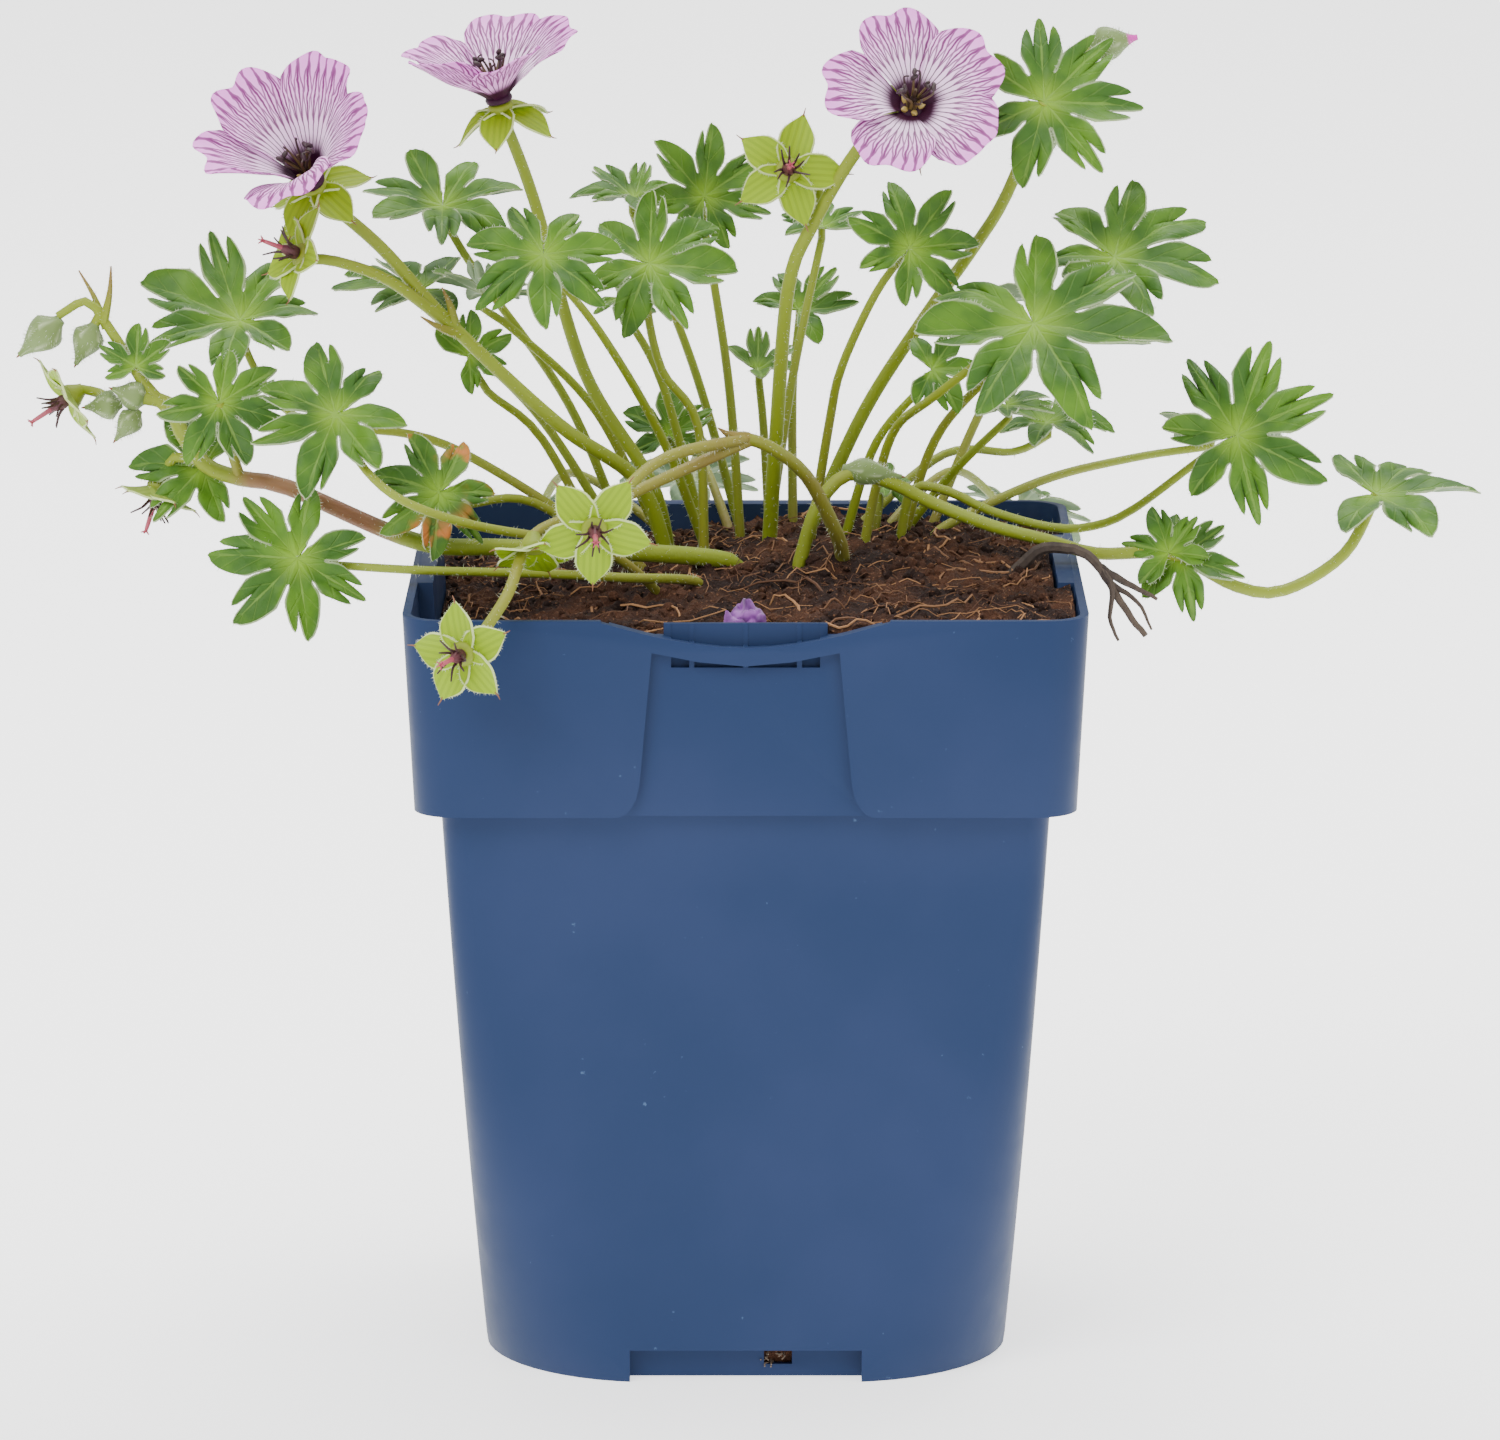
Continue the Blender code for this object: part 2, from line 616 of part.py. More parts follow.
def flower_frame(axis, turn):
    """A flower's own axes: two across it, and one along it, turned about that one."""
    axis = Vector(axis).normalized()
    level = Vector((0, -1, 0)) if abs(axis.z) > 0.9 else Vector((0, 0, 1))
    first = (level - axis * level.dot(axis)).normalized()
    first = Matrix.Rotation(math.radians(turn), 3, axis) @ first
    return first, axis.cross(first), axis


def spread_petal(frame, centre, turn, length, rise, sway):
    """One petal as part of a flower's cup, one edge over and one under its neighbours."""
    first, second, axis = frame
    narrow, wide = (-1, 0, 1), (-1, -0.45, 0, 0.45, 1)
    rows = [(0.0, 0.6, narrow), (0.36, 0.68, narrow), (0.72, 1.0, wide), (0.96, 0.72, wide)]
    points = []
    for share, width, columns in rows:
        lean = math.radians(rise + 14 - 22 * share)
        radial, height = share * length * math.cos(lean), share * length * math.sin(lean)
        half = math.radians(41) * width
        for column in columns:
            notch = -0.06 * length if share > 0.9 and column == 0 else 0.0
            notch -= 0.05 * length if share > 0.9 and abs(column) == 1 else 0.0
            angle = turn + half * column
            out = first * math.cos(angle) + second * math.sin(angle)
            slip = sway * column * min(1.0, share * 2.4)
            normal = axis * math.cos(lean) - out * math.sin(lean)
            run = out * math.cos(lean) + axis * math.sin(lean)
            points.append(centre + out * (CLAW + radial) + axis * height + normal * slip + run * notch)
    faces = strip_faces(2, 3) + [(3, 7, 6), (3, 4, 7), (4, 8, 7), (4, 9, 8), (4, 5, 9), (5, 10, 9)]
    faces += [tuple(corner + 6 for corner in face) for face in strip_faces(2, 5)]
    return thickened(add_mesh("petal", points, faces))


def sepal_star(frame, centre, length, rise):
    """Five boat-shaped sepals with fine points, joined round the top of their stalk."""
    first, second, axis = frame

    def at(degrees, radial, height):
        angle = math.radians(degrees)
        return centre + (first * math.cos(angle) + second * math.sin(angle)) * radial + axis * height

    lean = math.radians(rise)
    bend = math.radians(rise - 14)
    points = [centre]
    faces = []
    for index in range(5):
        turn = 36 + 72 * index
        points.append(at(turn - 36, 1.9, 0.3))
        middle = 0.52 * length
        points.append(at(turn, middle * math.cos(lean), middle * math.sin(lean) - 0.3))
        for side in (-1, 1):
            swing = side * math.degrees(math.atan(SEPAL_WIDTH / 2 / (0.58 * length)))
            reach = 0.62 * length
            points.append(at(turn + swing, reach * math.cos(lean), reach * math.sin(lean) + 0.5))
        points.append(at(turn, length * math.cos(bend), length * math.sin(bend)))
        start = 1 + 5 * index
        cleft, after, spine, left, right, tip = (
            start,
            1 + (start + 4) % 25,
            start + 1,
            start + 2,
            start + 3,
            start + 4,
        )
        faces += [(0, cleft, spine), (0, spine, after), (cleft, left, spine)]
        faces += [(left, tip, spine), (spine, tip, right), (spine, right, after)]
    return thickened(add_mesh("sepals", points, faces))


def calyx(centre, axis, turn, length, rise):
    """The knob at the end of a flower's stalk with its five sepals; its top is at the centre."""
    frame = flower_frame(axis, turn)
    axis = frame[2]
    centre = Vector(centre)
    knob = cone(centre - axis * 3.6, centre - axis * 0.4, 1.0, 2.1, 6)
    return [knob, sepal_star(frame, centre - axis * 1.5, length, rise)]


def bud(centre, axis, length, width):
    """A closed bud: a pointed egg with the faint edges of its five sepals."""
    axis = Vector(axis).normalized()
    frame = flower_frame(axis, 0)
    rings = ((-0.5, 0.28), (-0.22, 0.95), (0.20, 0.90), (0.5, 0.16))
    sides = 5
    points = []
    for share, size in rings:
        for index in range(sides):
            angle = math.radians(360 * index / sides)
            out = frame[0] * math.cos(angle) + frame[1] * math.sin(angle)
            points.append(Vector(centre) + axis * (share * length) + out * (0.5 * width * size))
    faces = [tuple(reversed(range(sides))), tuple(range(len(points) - sides, len(points)))]
    for ring in range(len(rings) - 1):
        for index in range(sides):
            after = (index + 1) % sides
            low = ring * sides
            faces.append((low + index, low + after, low + sides + after, low + sides + index))
    return baked(add_mesh("bud", points, faces))


def build_petals():
    """The petals of each open flower, joined where their claws meet."""
    for name, (centre, axis, length, rise, turn) in BLOOMS.items():
        frame = flower_frame(axis, turn)
        axis, centre = frame[2], Vector(centre)
        disc = cone(centre, centre + axis * 1.0, 2.3, 2.3, 7)
        made = []
        for index in range(PETALS):
            angle = math.radians(72 * index)
            made.append(spread_petal(frame, centre + axis * 0.5, angle, length, rise, 0.9))
        place(combine(disc, made, "UNION"), "petals_" + name, "petal")


def build_stamens():
    """The dark stamens of each open flower, and those left on each spent one."""
    for name, (centre, axis, length, rise, turn) in BLOOMS.items():
        frame = flower_frame(axis, turn)
        axis, start = frame[2], Vector(centre) + frame[2] * 1.35
        made = []
        for index in range(6):
            angle = math.radians(60 * index)
            out = frame[0] * math.cos(angle) + frame[1] * math.sin(angle)
            tip = start + axis * (5.6 if index % 2 else 6.8) + out * 1.9
            made.append(cone(start + axis * 0.8 + out * 0.2, tip, 0.4, 0.45, 3))
        base = cone(start, start + axis * 2.6, 0.9, 0.7, 6)
        place(combine(base, made, "UNION"), "stamens_" + name, "stamen")
    for name, (centre, axis, length, rise, turn) in SPENT.items():
        frame = flower_frame(axis, turn)
        axis, start = frame[2], Vector(centre) - frame[2] * 0.08
        made = [cone(start + axis * 0.5, start + axis * 7.4, 0.5, 0.5, 3)]
        for index in range(3):
            angle = math.radians(120 * index + 20)
            out = frame[0] * math.cos(angle) + frame[1] * math.sin(angle)
            tip = start + axis * 4.6 + out * (1.6 if index % 2 else 2.1)
            made.append(cone(start + axis * 0.8 + out * 0.2, tip, 0.45, 0.3, 3))
        base = cone(start, start + axis * 2.0, 1.0, 0.8, 4)
        place(combine(base, made, "UNION"), "stamens_spent_" + name, "stamen")


def flower_on(name, table, rise):
    """The calyx of a named flower."""
    centre, axis, length, petal_rise, turn = table[name]
    length = SEPAL_LENGTH if table is BLOOMS else length
    return calyx(centre, axis, turn, length, rise if table is BLOOMS else petal_rise)


def foot_of(name, table):
    """Where a named flower's stalk meets its knob."""
    centre, axis = table[name][:2]
    return Vector(centre) - Vector(axis).normalized() * 3.3


def build_stems():
    """The flowering stems and the runner, each with what grows on it, and their feet."""
    feet = []

    def stem(name, foot, radius, last, pieces):
        main = tube(rooted(foot, last), radius, radius * 0.8, 4)
        place(combine(main, pieces, "UNION", "MANIFOLD"), name, "stem")
        feet.append((*foot, radius))

    fork = (-49, 0, 169)
    stem(
        "stem_left",
        (-13, 14),
        1.3,
        [(-18, 8, 141), (-31, 0, 152), fork, (-60, -3, 182), foot_of("left", BLOOMS)],
        [
            tube(smooth_path([(-48, 0, 168), (-58.5, -4, 176.5), (-67, -8, 180.3), foot_of("left", SPENT)], 9), 1.0, 0.9, 4),
            cone((-47, 0, 167), (-53.5, -3.5, 170.5), 1.1, 0.5, 5),
            cone((-48, 0, 168), (-50, -1.5, 175), 1.1, 0.4, 5),
            *flower_on("left", BLOOMS, -6),
            *flower_on("left", SPENT, 0),
        ],
    )
    stem(
        "stem_middle",
        (-13, 20),
        1.2,
        [(-16, 14, 140), (-27, 12, 159), (-35, 8, 188), foot_of("middle", BLOOMS)],
        flower_on("middle", BLOOMS, -14),
    )
    stem(
        "stem_right",
        (4, 20),
        1.3,
        [(5, 12, 147), (7, 3, 174), (11, 1, 185), (19.5, 0, 199), foot_of("right", BLOOMS)],
        [
            tube(smooth_path([(10.5, 1, 184), (12, 5, 190), foot_of("centre", SPENT)], 9), 1.0, 0.9, 4),
            *flower_on("right", BLOOMS, -8),
            *flower_on("centre", SPENT, 0),
        ],
    )
    stem(
        "stem_right_leafy",
        (11, 26),
        1.2,
        [(20, 25, 150), (30, 19, 167), (38, 11, 180), (43, 7, 189), (48.5, 1.5, 204), (49, 0.5, 205.5)],
        [
            leaf_blade(40, (49, 0.5, 205.5), 64, -90, 85, 16.5, 7, 4, 0.08),
            tube(smooth_path([(47.6, 2.4, 202.5), (53, 7, 209), (57, 9, 213)], 9), 0.9, 0.8, 4),
            bud((60.5, 9.5, 214.2), (0.94, 0, 0.2), 8.5, 6.0),
            tube(smooth_path([(44.6, 5.2, 194), (47, 7.6, 199.6), (49, 9, 201)], 9), 0.8, 0.7, 4),
            bud((49.5, 9.5, 197.6), (-0.15, 0, -1), 8.0, 4.6),
        ],
    )
    joint = (-83, -12, 145)
    crook = (-107, 0, 171)
    stem(
        "stem_left_leafy",
        (-3, 6),
        1.6,
        [(-21, -5, 131.5), (-40, -15, 134), (-54, -20, 136), (-75, -15, 144), joint, (-89, -10, 147), (-93, -7, 152), (-95, -4, 156), (-100, -3.6, 157.2)],
        [
            tube(smooth_path([joint, (-84.5, -14, 151), (-86, -15, 158)], 9), 0.9, 0.8, 4),
            leaf_blade(41, (-86, -15, 158), 64, -88, 20, 12.0, 7, 4, 0.08),
            leaf_blade(42, (-89.5, -7.5, 146), 58, -100, 270, 14.0, 5, 4, 0.08),
            tube(smooth_path([(-94, -5, 154), (-99, -3, 159), (-103, -1, 165), crook], 9), 1.1, 0.8, 4),
            tube(smooth_path([(-106, 0, 170), (-109, 0, 172.5), (-113.5, 0, 170)], 9), 0.8, 0.7, 4),
            bud((-116.5, 0, 166.5), (-0.72, 0, -0.62), 9.2, 6.2),
            tube(smooth_path([(-106.3, 0, 170.6), (-108, 0, 167.6)], 9), 0.9, 0.8, 4),
            bud((-109, 0, 165.4), (-0.42, 0, -0.86), 7.6, 5.4),
            cone((-106, -0.5, 169), (-104.5, -1, 178.5), 0.9, 0.35, 4),
            cone((-105.5, 0, 168), (-110, 1, 177.5), 0.8, 0.35, 4),
            leaf_blade(43, (-100.5, -3, 162), 60, -90, 180, 7.5, 5, 10, 0.05),
            bud((-101.5, -3.5, 157.5), (-0.8, -0.2, 0.3), 6.4, 5.2),
            bud((-106, -2.5, 155.5), (-0.98, 0, -0.1), 6.2, 5.0),
            bud((-102, -4, 152.5), (-0.6, -0.1, -0.75), 6.4, 4.4),
            tube(smooth_path([(-104, -2, 156), (-107, -1, 157.4), foot_of("far_left", SPENT)], 9), 0.9, 0.8, 4),
            *flower_on("far_left", SPENT, 0),
            tube(smooth_path([(-90, -9.5, 147.5), (-94, -7, 147.6), foot_of("low_left", SPENT)], 9), 0.9, 0.8, 4),
            *flower_on("low_left", SPENT, 0),
        ],
    )
    stem(
        "stem_front",
        (16, 3),
        1.3,
        [(15, -2, 134), (10, -10, 145), (4, -17, 151), (0, -20, 153)],
        [
            tube(smooth_path([(0.5, -19.5, 153), (-14, -36, 152), foot_of("front", SPENT)], 9), 1.0, 0.9, 4),
            tube(smooth_path([(0.5, -19.5, 152.5), (-12, -29, 148.5), (-24, -38, 144.5), (-34, -45, 141.5), (-38, -58, 134), foot_of("hanging", SPENT)], 9), 1.0, 0.9, 4),
            cone((0, -20, 153), (-4.5, -24.5, 155.5), 1.2, 0.4, 5),
            *flower_on("front", SPENT, 0),
            *flower_on("hanging", SPENT, 0),
            *calyx((-34, -48, 139), (0, -0.45, -0.89), 20, 7.5, 30),
        ],
    )
    node = (70.5, -3, 130.6)
    stem(
        "runner",
        (9, 2),
        1.2,
        [(12, 2, 138), (17, 3, 143), (24, 4, 141.5), (31, 4, 138), (41, 0, 134.8), (50, -3, 133), (58, -4, 131), node, (81.5, -2, 125), (89.5, 0, 124), (99.5, 3, 129.5), (105, 6, 139)],
        [
            leaf_blade(44, (105, 6, 139), 16, -90, 90, 18.5, 5, 6, 0.06),
            leaf_blade(45, (70, -4, 131), 66, -90, 200, 9.0, 5, 8, 0.05),
            leaf_blade(46, (72, -3, 130.4), 50, -90, 70, 11.0, 5, -10, 0.06),
            bud((21, 3.7, 143.2), (0.95, 0.1, -0.15), 10.0, 4.6),
        ],
    )
    return feet


def build_fallen_petal():
    """The crumpled petal on the soil behind the tongue."""
    points = []
    for row in range(4):
        for column in range(4):
            x = -3.6 + 2.3 * column
            lift = 1.0 * math.sin(1.4 * row + 1.9 * column) * (row > 0)
            points.append((x, -46.5 + 0.9 * row + 0.8 * math.sin(2.0 * column), 127.1 + 1.15 * row + 0.4 * lift))
    item = thickened(add_mesh("fallen", points, strip_faces(4, 4)))
    place(item, "fallen_petal", "fallen_petal")


clear_scene()
WORKSHOP = new_collection("workshop")
PLANT = new_collection("hardy_geranium")
build_pot()
stalk_feet = build_leaves()
stalk_feet += build_stems()
build_petals()
build_stamens()
build_fallen_petal()
build_soil(stalk_feet)
bpy.data.collections.remove(WORKSHOP)
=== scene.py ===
"""A hardy geranium in flower, in its square blue nursery pot.

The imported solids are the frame. Sizes here are millimetres and become metres where a mesh is made.
The plan of the plant is the one that the solids were grown from, so each finer piece stands where
its solid does. +Z is up and -Y is the pot's front.
"""

import logging
import math
import random
from collections.abc import Iterable
from dataclasses import dataclass, field
from enum import Enum
from functools import cache

import bmesh
import bpy
import numpy as np
from mathutils import Matrix, Vector, noise

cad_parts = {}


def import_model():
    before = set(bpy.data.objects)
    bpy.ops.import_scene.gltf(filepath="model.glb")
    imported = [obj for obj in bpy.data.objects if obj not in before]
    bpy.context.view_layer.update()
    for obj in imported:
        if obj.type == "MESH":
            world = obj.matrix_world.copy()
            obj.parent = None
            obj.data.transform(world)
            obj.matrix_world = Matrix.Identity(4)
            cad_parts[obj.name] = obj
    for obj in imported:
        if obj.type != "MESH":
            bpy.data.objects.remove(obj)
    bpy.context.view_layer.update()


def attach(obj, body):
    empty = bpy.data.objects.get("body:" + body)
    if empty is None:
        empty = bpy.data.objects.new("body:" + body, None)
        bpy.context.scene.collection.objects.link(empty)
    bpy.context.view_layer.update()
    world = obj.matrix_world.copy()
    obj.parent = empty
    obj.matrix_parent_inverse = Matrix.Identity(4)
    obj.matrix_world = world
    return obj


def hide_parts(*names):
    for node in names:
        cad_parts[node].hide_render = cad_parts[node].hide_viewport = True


LOG = logging.getLogger("geranium")
MM = 0.001
BODY = "root"

# Plan of the soil and the growth, as in the solids: heights, depths and lengths, and a flower's petals
SOIL_LEVEL = 125.8
STEM_IN_SOIL = 3.4
SEPAL_LENGTH = 9.6
PETALS = 5
CLAW = 1.5

# Thickness of the sheets
LEAF_SHEET = 0.30
SEPAL_SHEET = 0.35
PETAL_SHEET = 0.16
WITHERED_SHEET = 0.3

# Millimetres that one unit of a blade's or a sepal's flat coordinates stands for
FLAT_SCALE = 50.0

# Points round each drain of the pot
DRAIN_STEPS = 24

# Angles in degrees from which an edge is drawn sharp
SHARP_GROWTH = 50.0
SHARP_POT = 30.0


class Look(Enum):
    """The place of each finish in a growing piece's list of materials."""

    LEAF = 0
    LEAF_BACK = 1
    STEM = 2
    HAIR = 3
    SEPAL = 4
    SEPAL_BACK = 5
    PETAL = 6
    PETAL_BACK = 7
    BUD = 8
    PLAIN = 0


@dataclass(frozen=True)
class LeafPlan:
    """One leaf: the foot and route of its stalk, and its blade.

    The blade has a base, a tilt towards a direction and a spin of its middle lobe, all in degrees, and
    a length, a number of lobes, a rise towards its margin and a curl of its tips.
    """

    foot: tuple
    route: list
    base: tuple
    tilt: float
    toward: float
    spin: float
    length: float
    lobes: int
    rise: float
    curl: float


@dataclass(frozen=True)
class FlowerPlan:
    """One flower: its centre and axis, the length and rise of its sheets and their turn."""

    centre: tuple
    axis: tuple
    length: float
    rise: float
    turn: float


@dataclass(frozen=True)
class BudPlan:
    """One closed bud."""

    centre: tuple
    axis: tuple
    length: float
    width: float


@dataclass(frozen=True)
class Branch:
    """One side branch of a stem."""

    points: list
    first_radius: float
    last_radius: float


LEAVES: dict[str, LeafPlan] = {
    "leaf_01": LeafPlan(
        (11, 18), [(14, 14, 150), (16, 10, 160), (21.5, 5, 173)],
        (27, 2, 181), 68, -80, 140, 12.5, 7, 8, 0.1,
    ),
    "leaf_02": LeafPlan(
        (27, 25), [(33, 20, 148), (48, 10, 165), (57, 6, 174)],
        (61, 5, 179), 35, -90, 70, 18.0, 7, 14, 0.1,
    ),
    "leaf_03": LeafPlan(
        (20, 14), [(22, 13, 140), (25, 8, 150), (31, -3, 157), (42, -12, 167)],
        (47, -15, 171), 40, -90, 25, 23.0, 7, 6, 0.14,
    ),
    "leaf_04": LeafPlan(
        (26, 18), [
            (28, 17, 138), (34, 15, 138), (41, 13, 135), (51, 10, 132.8),
            (58, 8, 133.4), (64.5, 4, 137), (76, -2, 147),
        ],
        (81, -5, 151), 70, -98, 115, 17.0, 7, 6, 0.1,
    ),
    "leaf_05": LeafPlan(
        (20, 36), [(34, 46, 139), (46, 54, 138)],
        (52, 60, 142), 14, -90, 90, 12.5, 7, 10, 0.1,
    ),
    "leaf_06": LeafPlan((17, 22), [(22, 18, 146)], (31, 10, 159.5), 58, -90, 90, 9.0, 5, 6, 0.1),
    "leaf_07": LeafPlan((4, 36), [(3, 38, 145)], (2, 40, 154.5), 20, -90, 120, 8.5, 5, 22, 0.1),
    "leaf_08": LeafPlan((-1, 28), [(-3, 29, 155)], (-7, 32, 185.5), 72, -72, 172, 13.0, 7, 12, 0.05),
    "leaf_09": LeafPlan((4, 28), [(8, 32, 155)], (13, 40, 179), 25, -90, 180, 9.0, 5, 12, 0.1),
    "leaf_10": LeafPlan((8, 40), [(8, 46, 150)], (9, 52, 163), 38, -90, 140, 11.0, 5, 12, 0.1),
    "leaf_11": LeafPlan(
        (-7, 13), [(-8, 10, 150), (-14, 7, 160), (-16.5, 5, 172)],
        (-16, 5, 178), 50, -90, 80, 14.5, 7, 4, 0.08,
    ),
    "leaf_12": LeafPlan(
        (-7, 20), [(-14, 10, 148), (-24, -4, 168)],
        (-33, -12, 182), 52, -90, 0, 14.0, 7, 4, 0.08,
    ),
    "leaf_13": LeafPlan((-1, 36), [(-9, 42, 155)], (-19, 47, 183), 12, -90, 270, 11.0, 7, 18, 0.06),
    "leaf_14": LeafPlan(
        (-20, 31), [(-30, 32, 150), (-45, 31, 172)],
        (-51, 30, 184), 26, -90, 0, 15.0, 7, 18, 0.08,
    ),
    "leaf_15": LeafPlan(
        (-14, 26), [(-25, 23, 150), (-38, 19, 164)],
        (-43.5, 17, 171), 22, 60, 200, 10.5, 7, 12, 0.1,
    ),
    "leaf_16": LeafPlan(
        (-20, 24), [(-34, 25, 148), (-48, 26, 162)],
        (-54.5, 26, 170.5), 14, -90, 270, 14.5, 5, 8, 0.1,
    ),
    "leaf_17": LeafPlan(
        (-23, 18), [(-34, 14, 147), (-43, 9, 156)],
        (-46, 8, 162), 60, -90, 120, 8.5, 5, 6, 0.08,
    ),
    "leaf_18": LeafPlan(
        (-18, 14), [(-50, 14, 146), (-72, 11, 150), (-80, 9, 157)],
        (-84, 8, 168), 32, -90, 250, 17.0, 7, 13, 0.1,
    ),
    "leaf_19": LeafPlan(
        (-15, -8), [
            (-22, -16, 133), (-30, -25, 137), (-44, -33, 141),
            (-55, -34, 145), (-61.5, -30, 149.5),
        ],
        (-66.5, -24, 157.5), 50, -100, 300, 15.5, 7, 4, 0.08,
    ),
    "leaf_20": LeafPlan(
        (-8, -6), [(-20, -18, 129.5), (-33, -25, 131.5), (-54, -27, 132.5)],
        (-73, -25, 134), 72, -95, 320, 15.5, 7, 2, 0.06,
    ),
    "leaf_21": LeafPlan(
        (-18, 8), [(-35, -4, 139.5), (-46, -14, 141)],
        (-50, -20, 144), 62, -80, 300, 12.5, 7, 4, 0.06,
    ),
    "leaf_22": LeafPlan((-7, 26), [(-14, 22, 155)], (-21, 20, 170), 30, -90, 60, 7.5, 5, 4, 0.15),
    "leaf_23": LeafPlan((-7, 32), [(-10, 31, 138)], (-13, 30, 145), 60, -90, 180, 9.5, 5, 8, 0.08),
    "leaf_24": LeafPlan((22, 28), [(22.5, 28.5, 133)], (23, 29, 137), 28, -60, 90, 6.0, 5, 8, 0.1),
    "leaf_25": LeafPlan((28, 32), [(36, 28, 140)], (44, 25, 151), 20, -90, 60, 8.5, 5, 8, 0.1),
    "leaf_26": LeafPlan((-13, 38), [(-30, 56, 134)], (-38, 78, 122), 52, 95, 0, 16.0, 5, 4, 0.08),
    "leaf_27": LeafPlan((-3, 44), [(-8, 60, 136)], (-10, 86, 128), 40, 90, 0, 15.0, 5, 6, 0.1),
    "leaf_28": LeafPlan((25, 42), [(36, 58, 134)], (48, 80, 124), 45, 60, 340, 15.0, 5, 6, 0.1),
    "leaf_29": LeafPlan((32, 38), [(42, 46, 150)], (53, 55, 164), 12, 90, 40, 13.0, 5, 8, 0.12),
    "leaf_30": LeafPlan((33, 27), [(50, 36, 136), (66, 42, 139)], (80, 45, 143), 22, 60, 0, 13.0, 5, 8, 0.12),
}

BLOOMS = {
    "left": FlowerPlan((-71, -5, 193), (-0.32, -0.58, 0.74), 21.0, 51, 62),
    "middle": FlowerPlan((-40.5, 2, 205.5), (-0.22, -0.20, 0.95), 17.0, 38, 20),
    "right": FlowerPlan((27, -5, 205), (0.1, -0.80, 0.58), 15.6, 30, 84),
}

SPENT = {
    "centre": FlowerPlan((7, -1, 194.5), (0.05, -0.97, 0.25), 9.6, 12, 90),
    "left": FlowerPlan((-73.5, -10, 182), (-0.80, -0.45, 0.38), 8.5, 25, 20),
    "far_left": FlowerPlan((-112.5, 0, 156), (-0.80, -0.25, -0.50), 8.5, 20, 70),
    "low_left": FlowerPlan((-97, -6, 141.5), (-0.30, -0.15, -0.94), 7.5, 32, 10),
    "front": FlowerPlan((-24, -55, 144), (0.05, -0.97, -0.10), 9.6, 8, 74),
    "hanging": FlowerPlan((-45, -68, 126.5), (-0.42, -0.88, -0.05), 8.8, 18, 120),
}


# ---------------------------------------------------------------- materials


class Wiring:
    """Adds shader nodes to one tree and joins them."""

    def __init__(self, tree: bpy.types.NodeTree) -> None:
        """Keeps the tree."""
        self.tree = tree

    def node(self, kind: str, **settings: object) -> bpy.types.Node:
        """Adds a node.

        Args:
            kind: The node's type name.
            settings: Properties to set on it.

        Returns:
            The new node.
        """
        made = self.tree.nodes.new(kind)
        for name, value in settings.items():
            setattr(made, name, value)
        return made

    def feed(self, socket: bpy.types.NodeSocket, value: object) -> None:
        """Links a socket into another, or sets its value.

        Args:
            socket: The input.
            value: A socket, or a constant. A colour is given without its cover.
        """
        if isinstance(value, bpy.types.NodeSocket):
            self.tree.links.new(value, socket)
        else:
            socket.default_value = (*value, 1.0) if isinstance(value, tuple) else value

    def math(self, operation: str, first: object, second: object = 0.0) -> bpy.types.NodeSocket:
        """The result of one sum.

        Args:
            operation: The Math node's operation.
            first: Its first value.
            second: Its second value.

        Returns:
            The socket that holds the result.
        """
        made = self.node("ShaderNodeMath", operation=operation)
        self.feed(made.inputs[0], first)
        self.feed(made.inputs[1], second)
        return made.outputs[0]

    def mix(self, share: object, first: object, second: object) -> bpy.types.NodeSocket:
        """A colour between two.

        Args:
            share: How much of the second colour shows.
            first: The first colour.
            second: The second colour.

        Returns:
            The socket that holds the colour.
        """
        made = self.node("ShaderNodeMix", data_type="RGBA")
        self.feed(made.inputs[0], share)
        self.feed(made.inputs[6], first)
        self.feed(made.inputs[7], second)
        return made.outputs[2]

    def step(self, value: object, low: float, high: float) -> bpy.types.NodeSocket:
        """A smooth step from 0 to 1.

        Args:
            value: What is measured.
            low: Where the step starts.
            high: Where it ends, which may be the lower of the two.

        Returns:
            The socket that holds the step.
        """
        made = self.node("ShaderNodeMapRange", interpolation_type="SMOOTHSTEP")
        self.feed(made.inputs["Value"], value)
        if low < high:
            limits = (low, high, 0.0, 1.0)
        else:
            limits = (high, low, 1.0, 0.0)
        for name, limit in zip(("From Min", "From Max", "To Min", "To Max"), limits):
            made.inputs[name].default_value = limit
        return made.outputs["Result"]

    def cloud(self, scale: float, detail: float = 3.0, place: object = None) -> bpy.types.NodeSocket:
        """Soft noise from 0 to 1.

        Args:
            scale: Its scale.
            detail: Its finer layers.
            place: Where it is read, or None for the object's own place.

        Returns:
            The socket that holds the noise.
        """
        made = self.node("ShaderNodeTexNoise")
        made.inputs["Scale"].default_value = scale
        made.inputs["Detail"].default_value = detail
        self.feed(made.inputs["Vector"], place or self.place())
        return made.outputs["Fac"]

    def place(self) -> bpy.types.NodeSocket:
        """The place on the object, in metres."""
        return self.node("ShaderNodeTexCoord").outputs["Object"]

    def surface(self, name: str) -> bpy.types.NodeSocket:
        """A value that the mesh holds at each point."""
        return self.node("ShaderNodeAttribute", attribute_name=name).outputs["Fac"]

    def flat(self) -> list[bpy.types.NodeSocket]:
        """The two flat coordinates of a sheet."""
        made = self.node("ShaderNodeSeparateXYZ")
        self.feed(made.inputs[0], self.node("ShaderNodeUVMap", uv_map="flat").outputs["UV"])
        return [made.outputs["X"], made.outputs["Y"]]

    def group(self, tree: bpy.types.NodeTree, **values: object) -> bpy.types.Node:
        """A shared effect placed in this tree.

        Args:
            tree: The effect's node group.
            values: What its inputs are fed with.

        Returns:
            The group's node.
        """
        made = self.node("ShaderNodeGroup", node_tree=tree)
        for name, value in values.items():
            self.feed(made.inputs[name.replace("_", " ")], value)
        return made


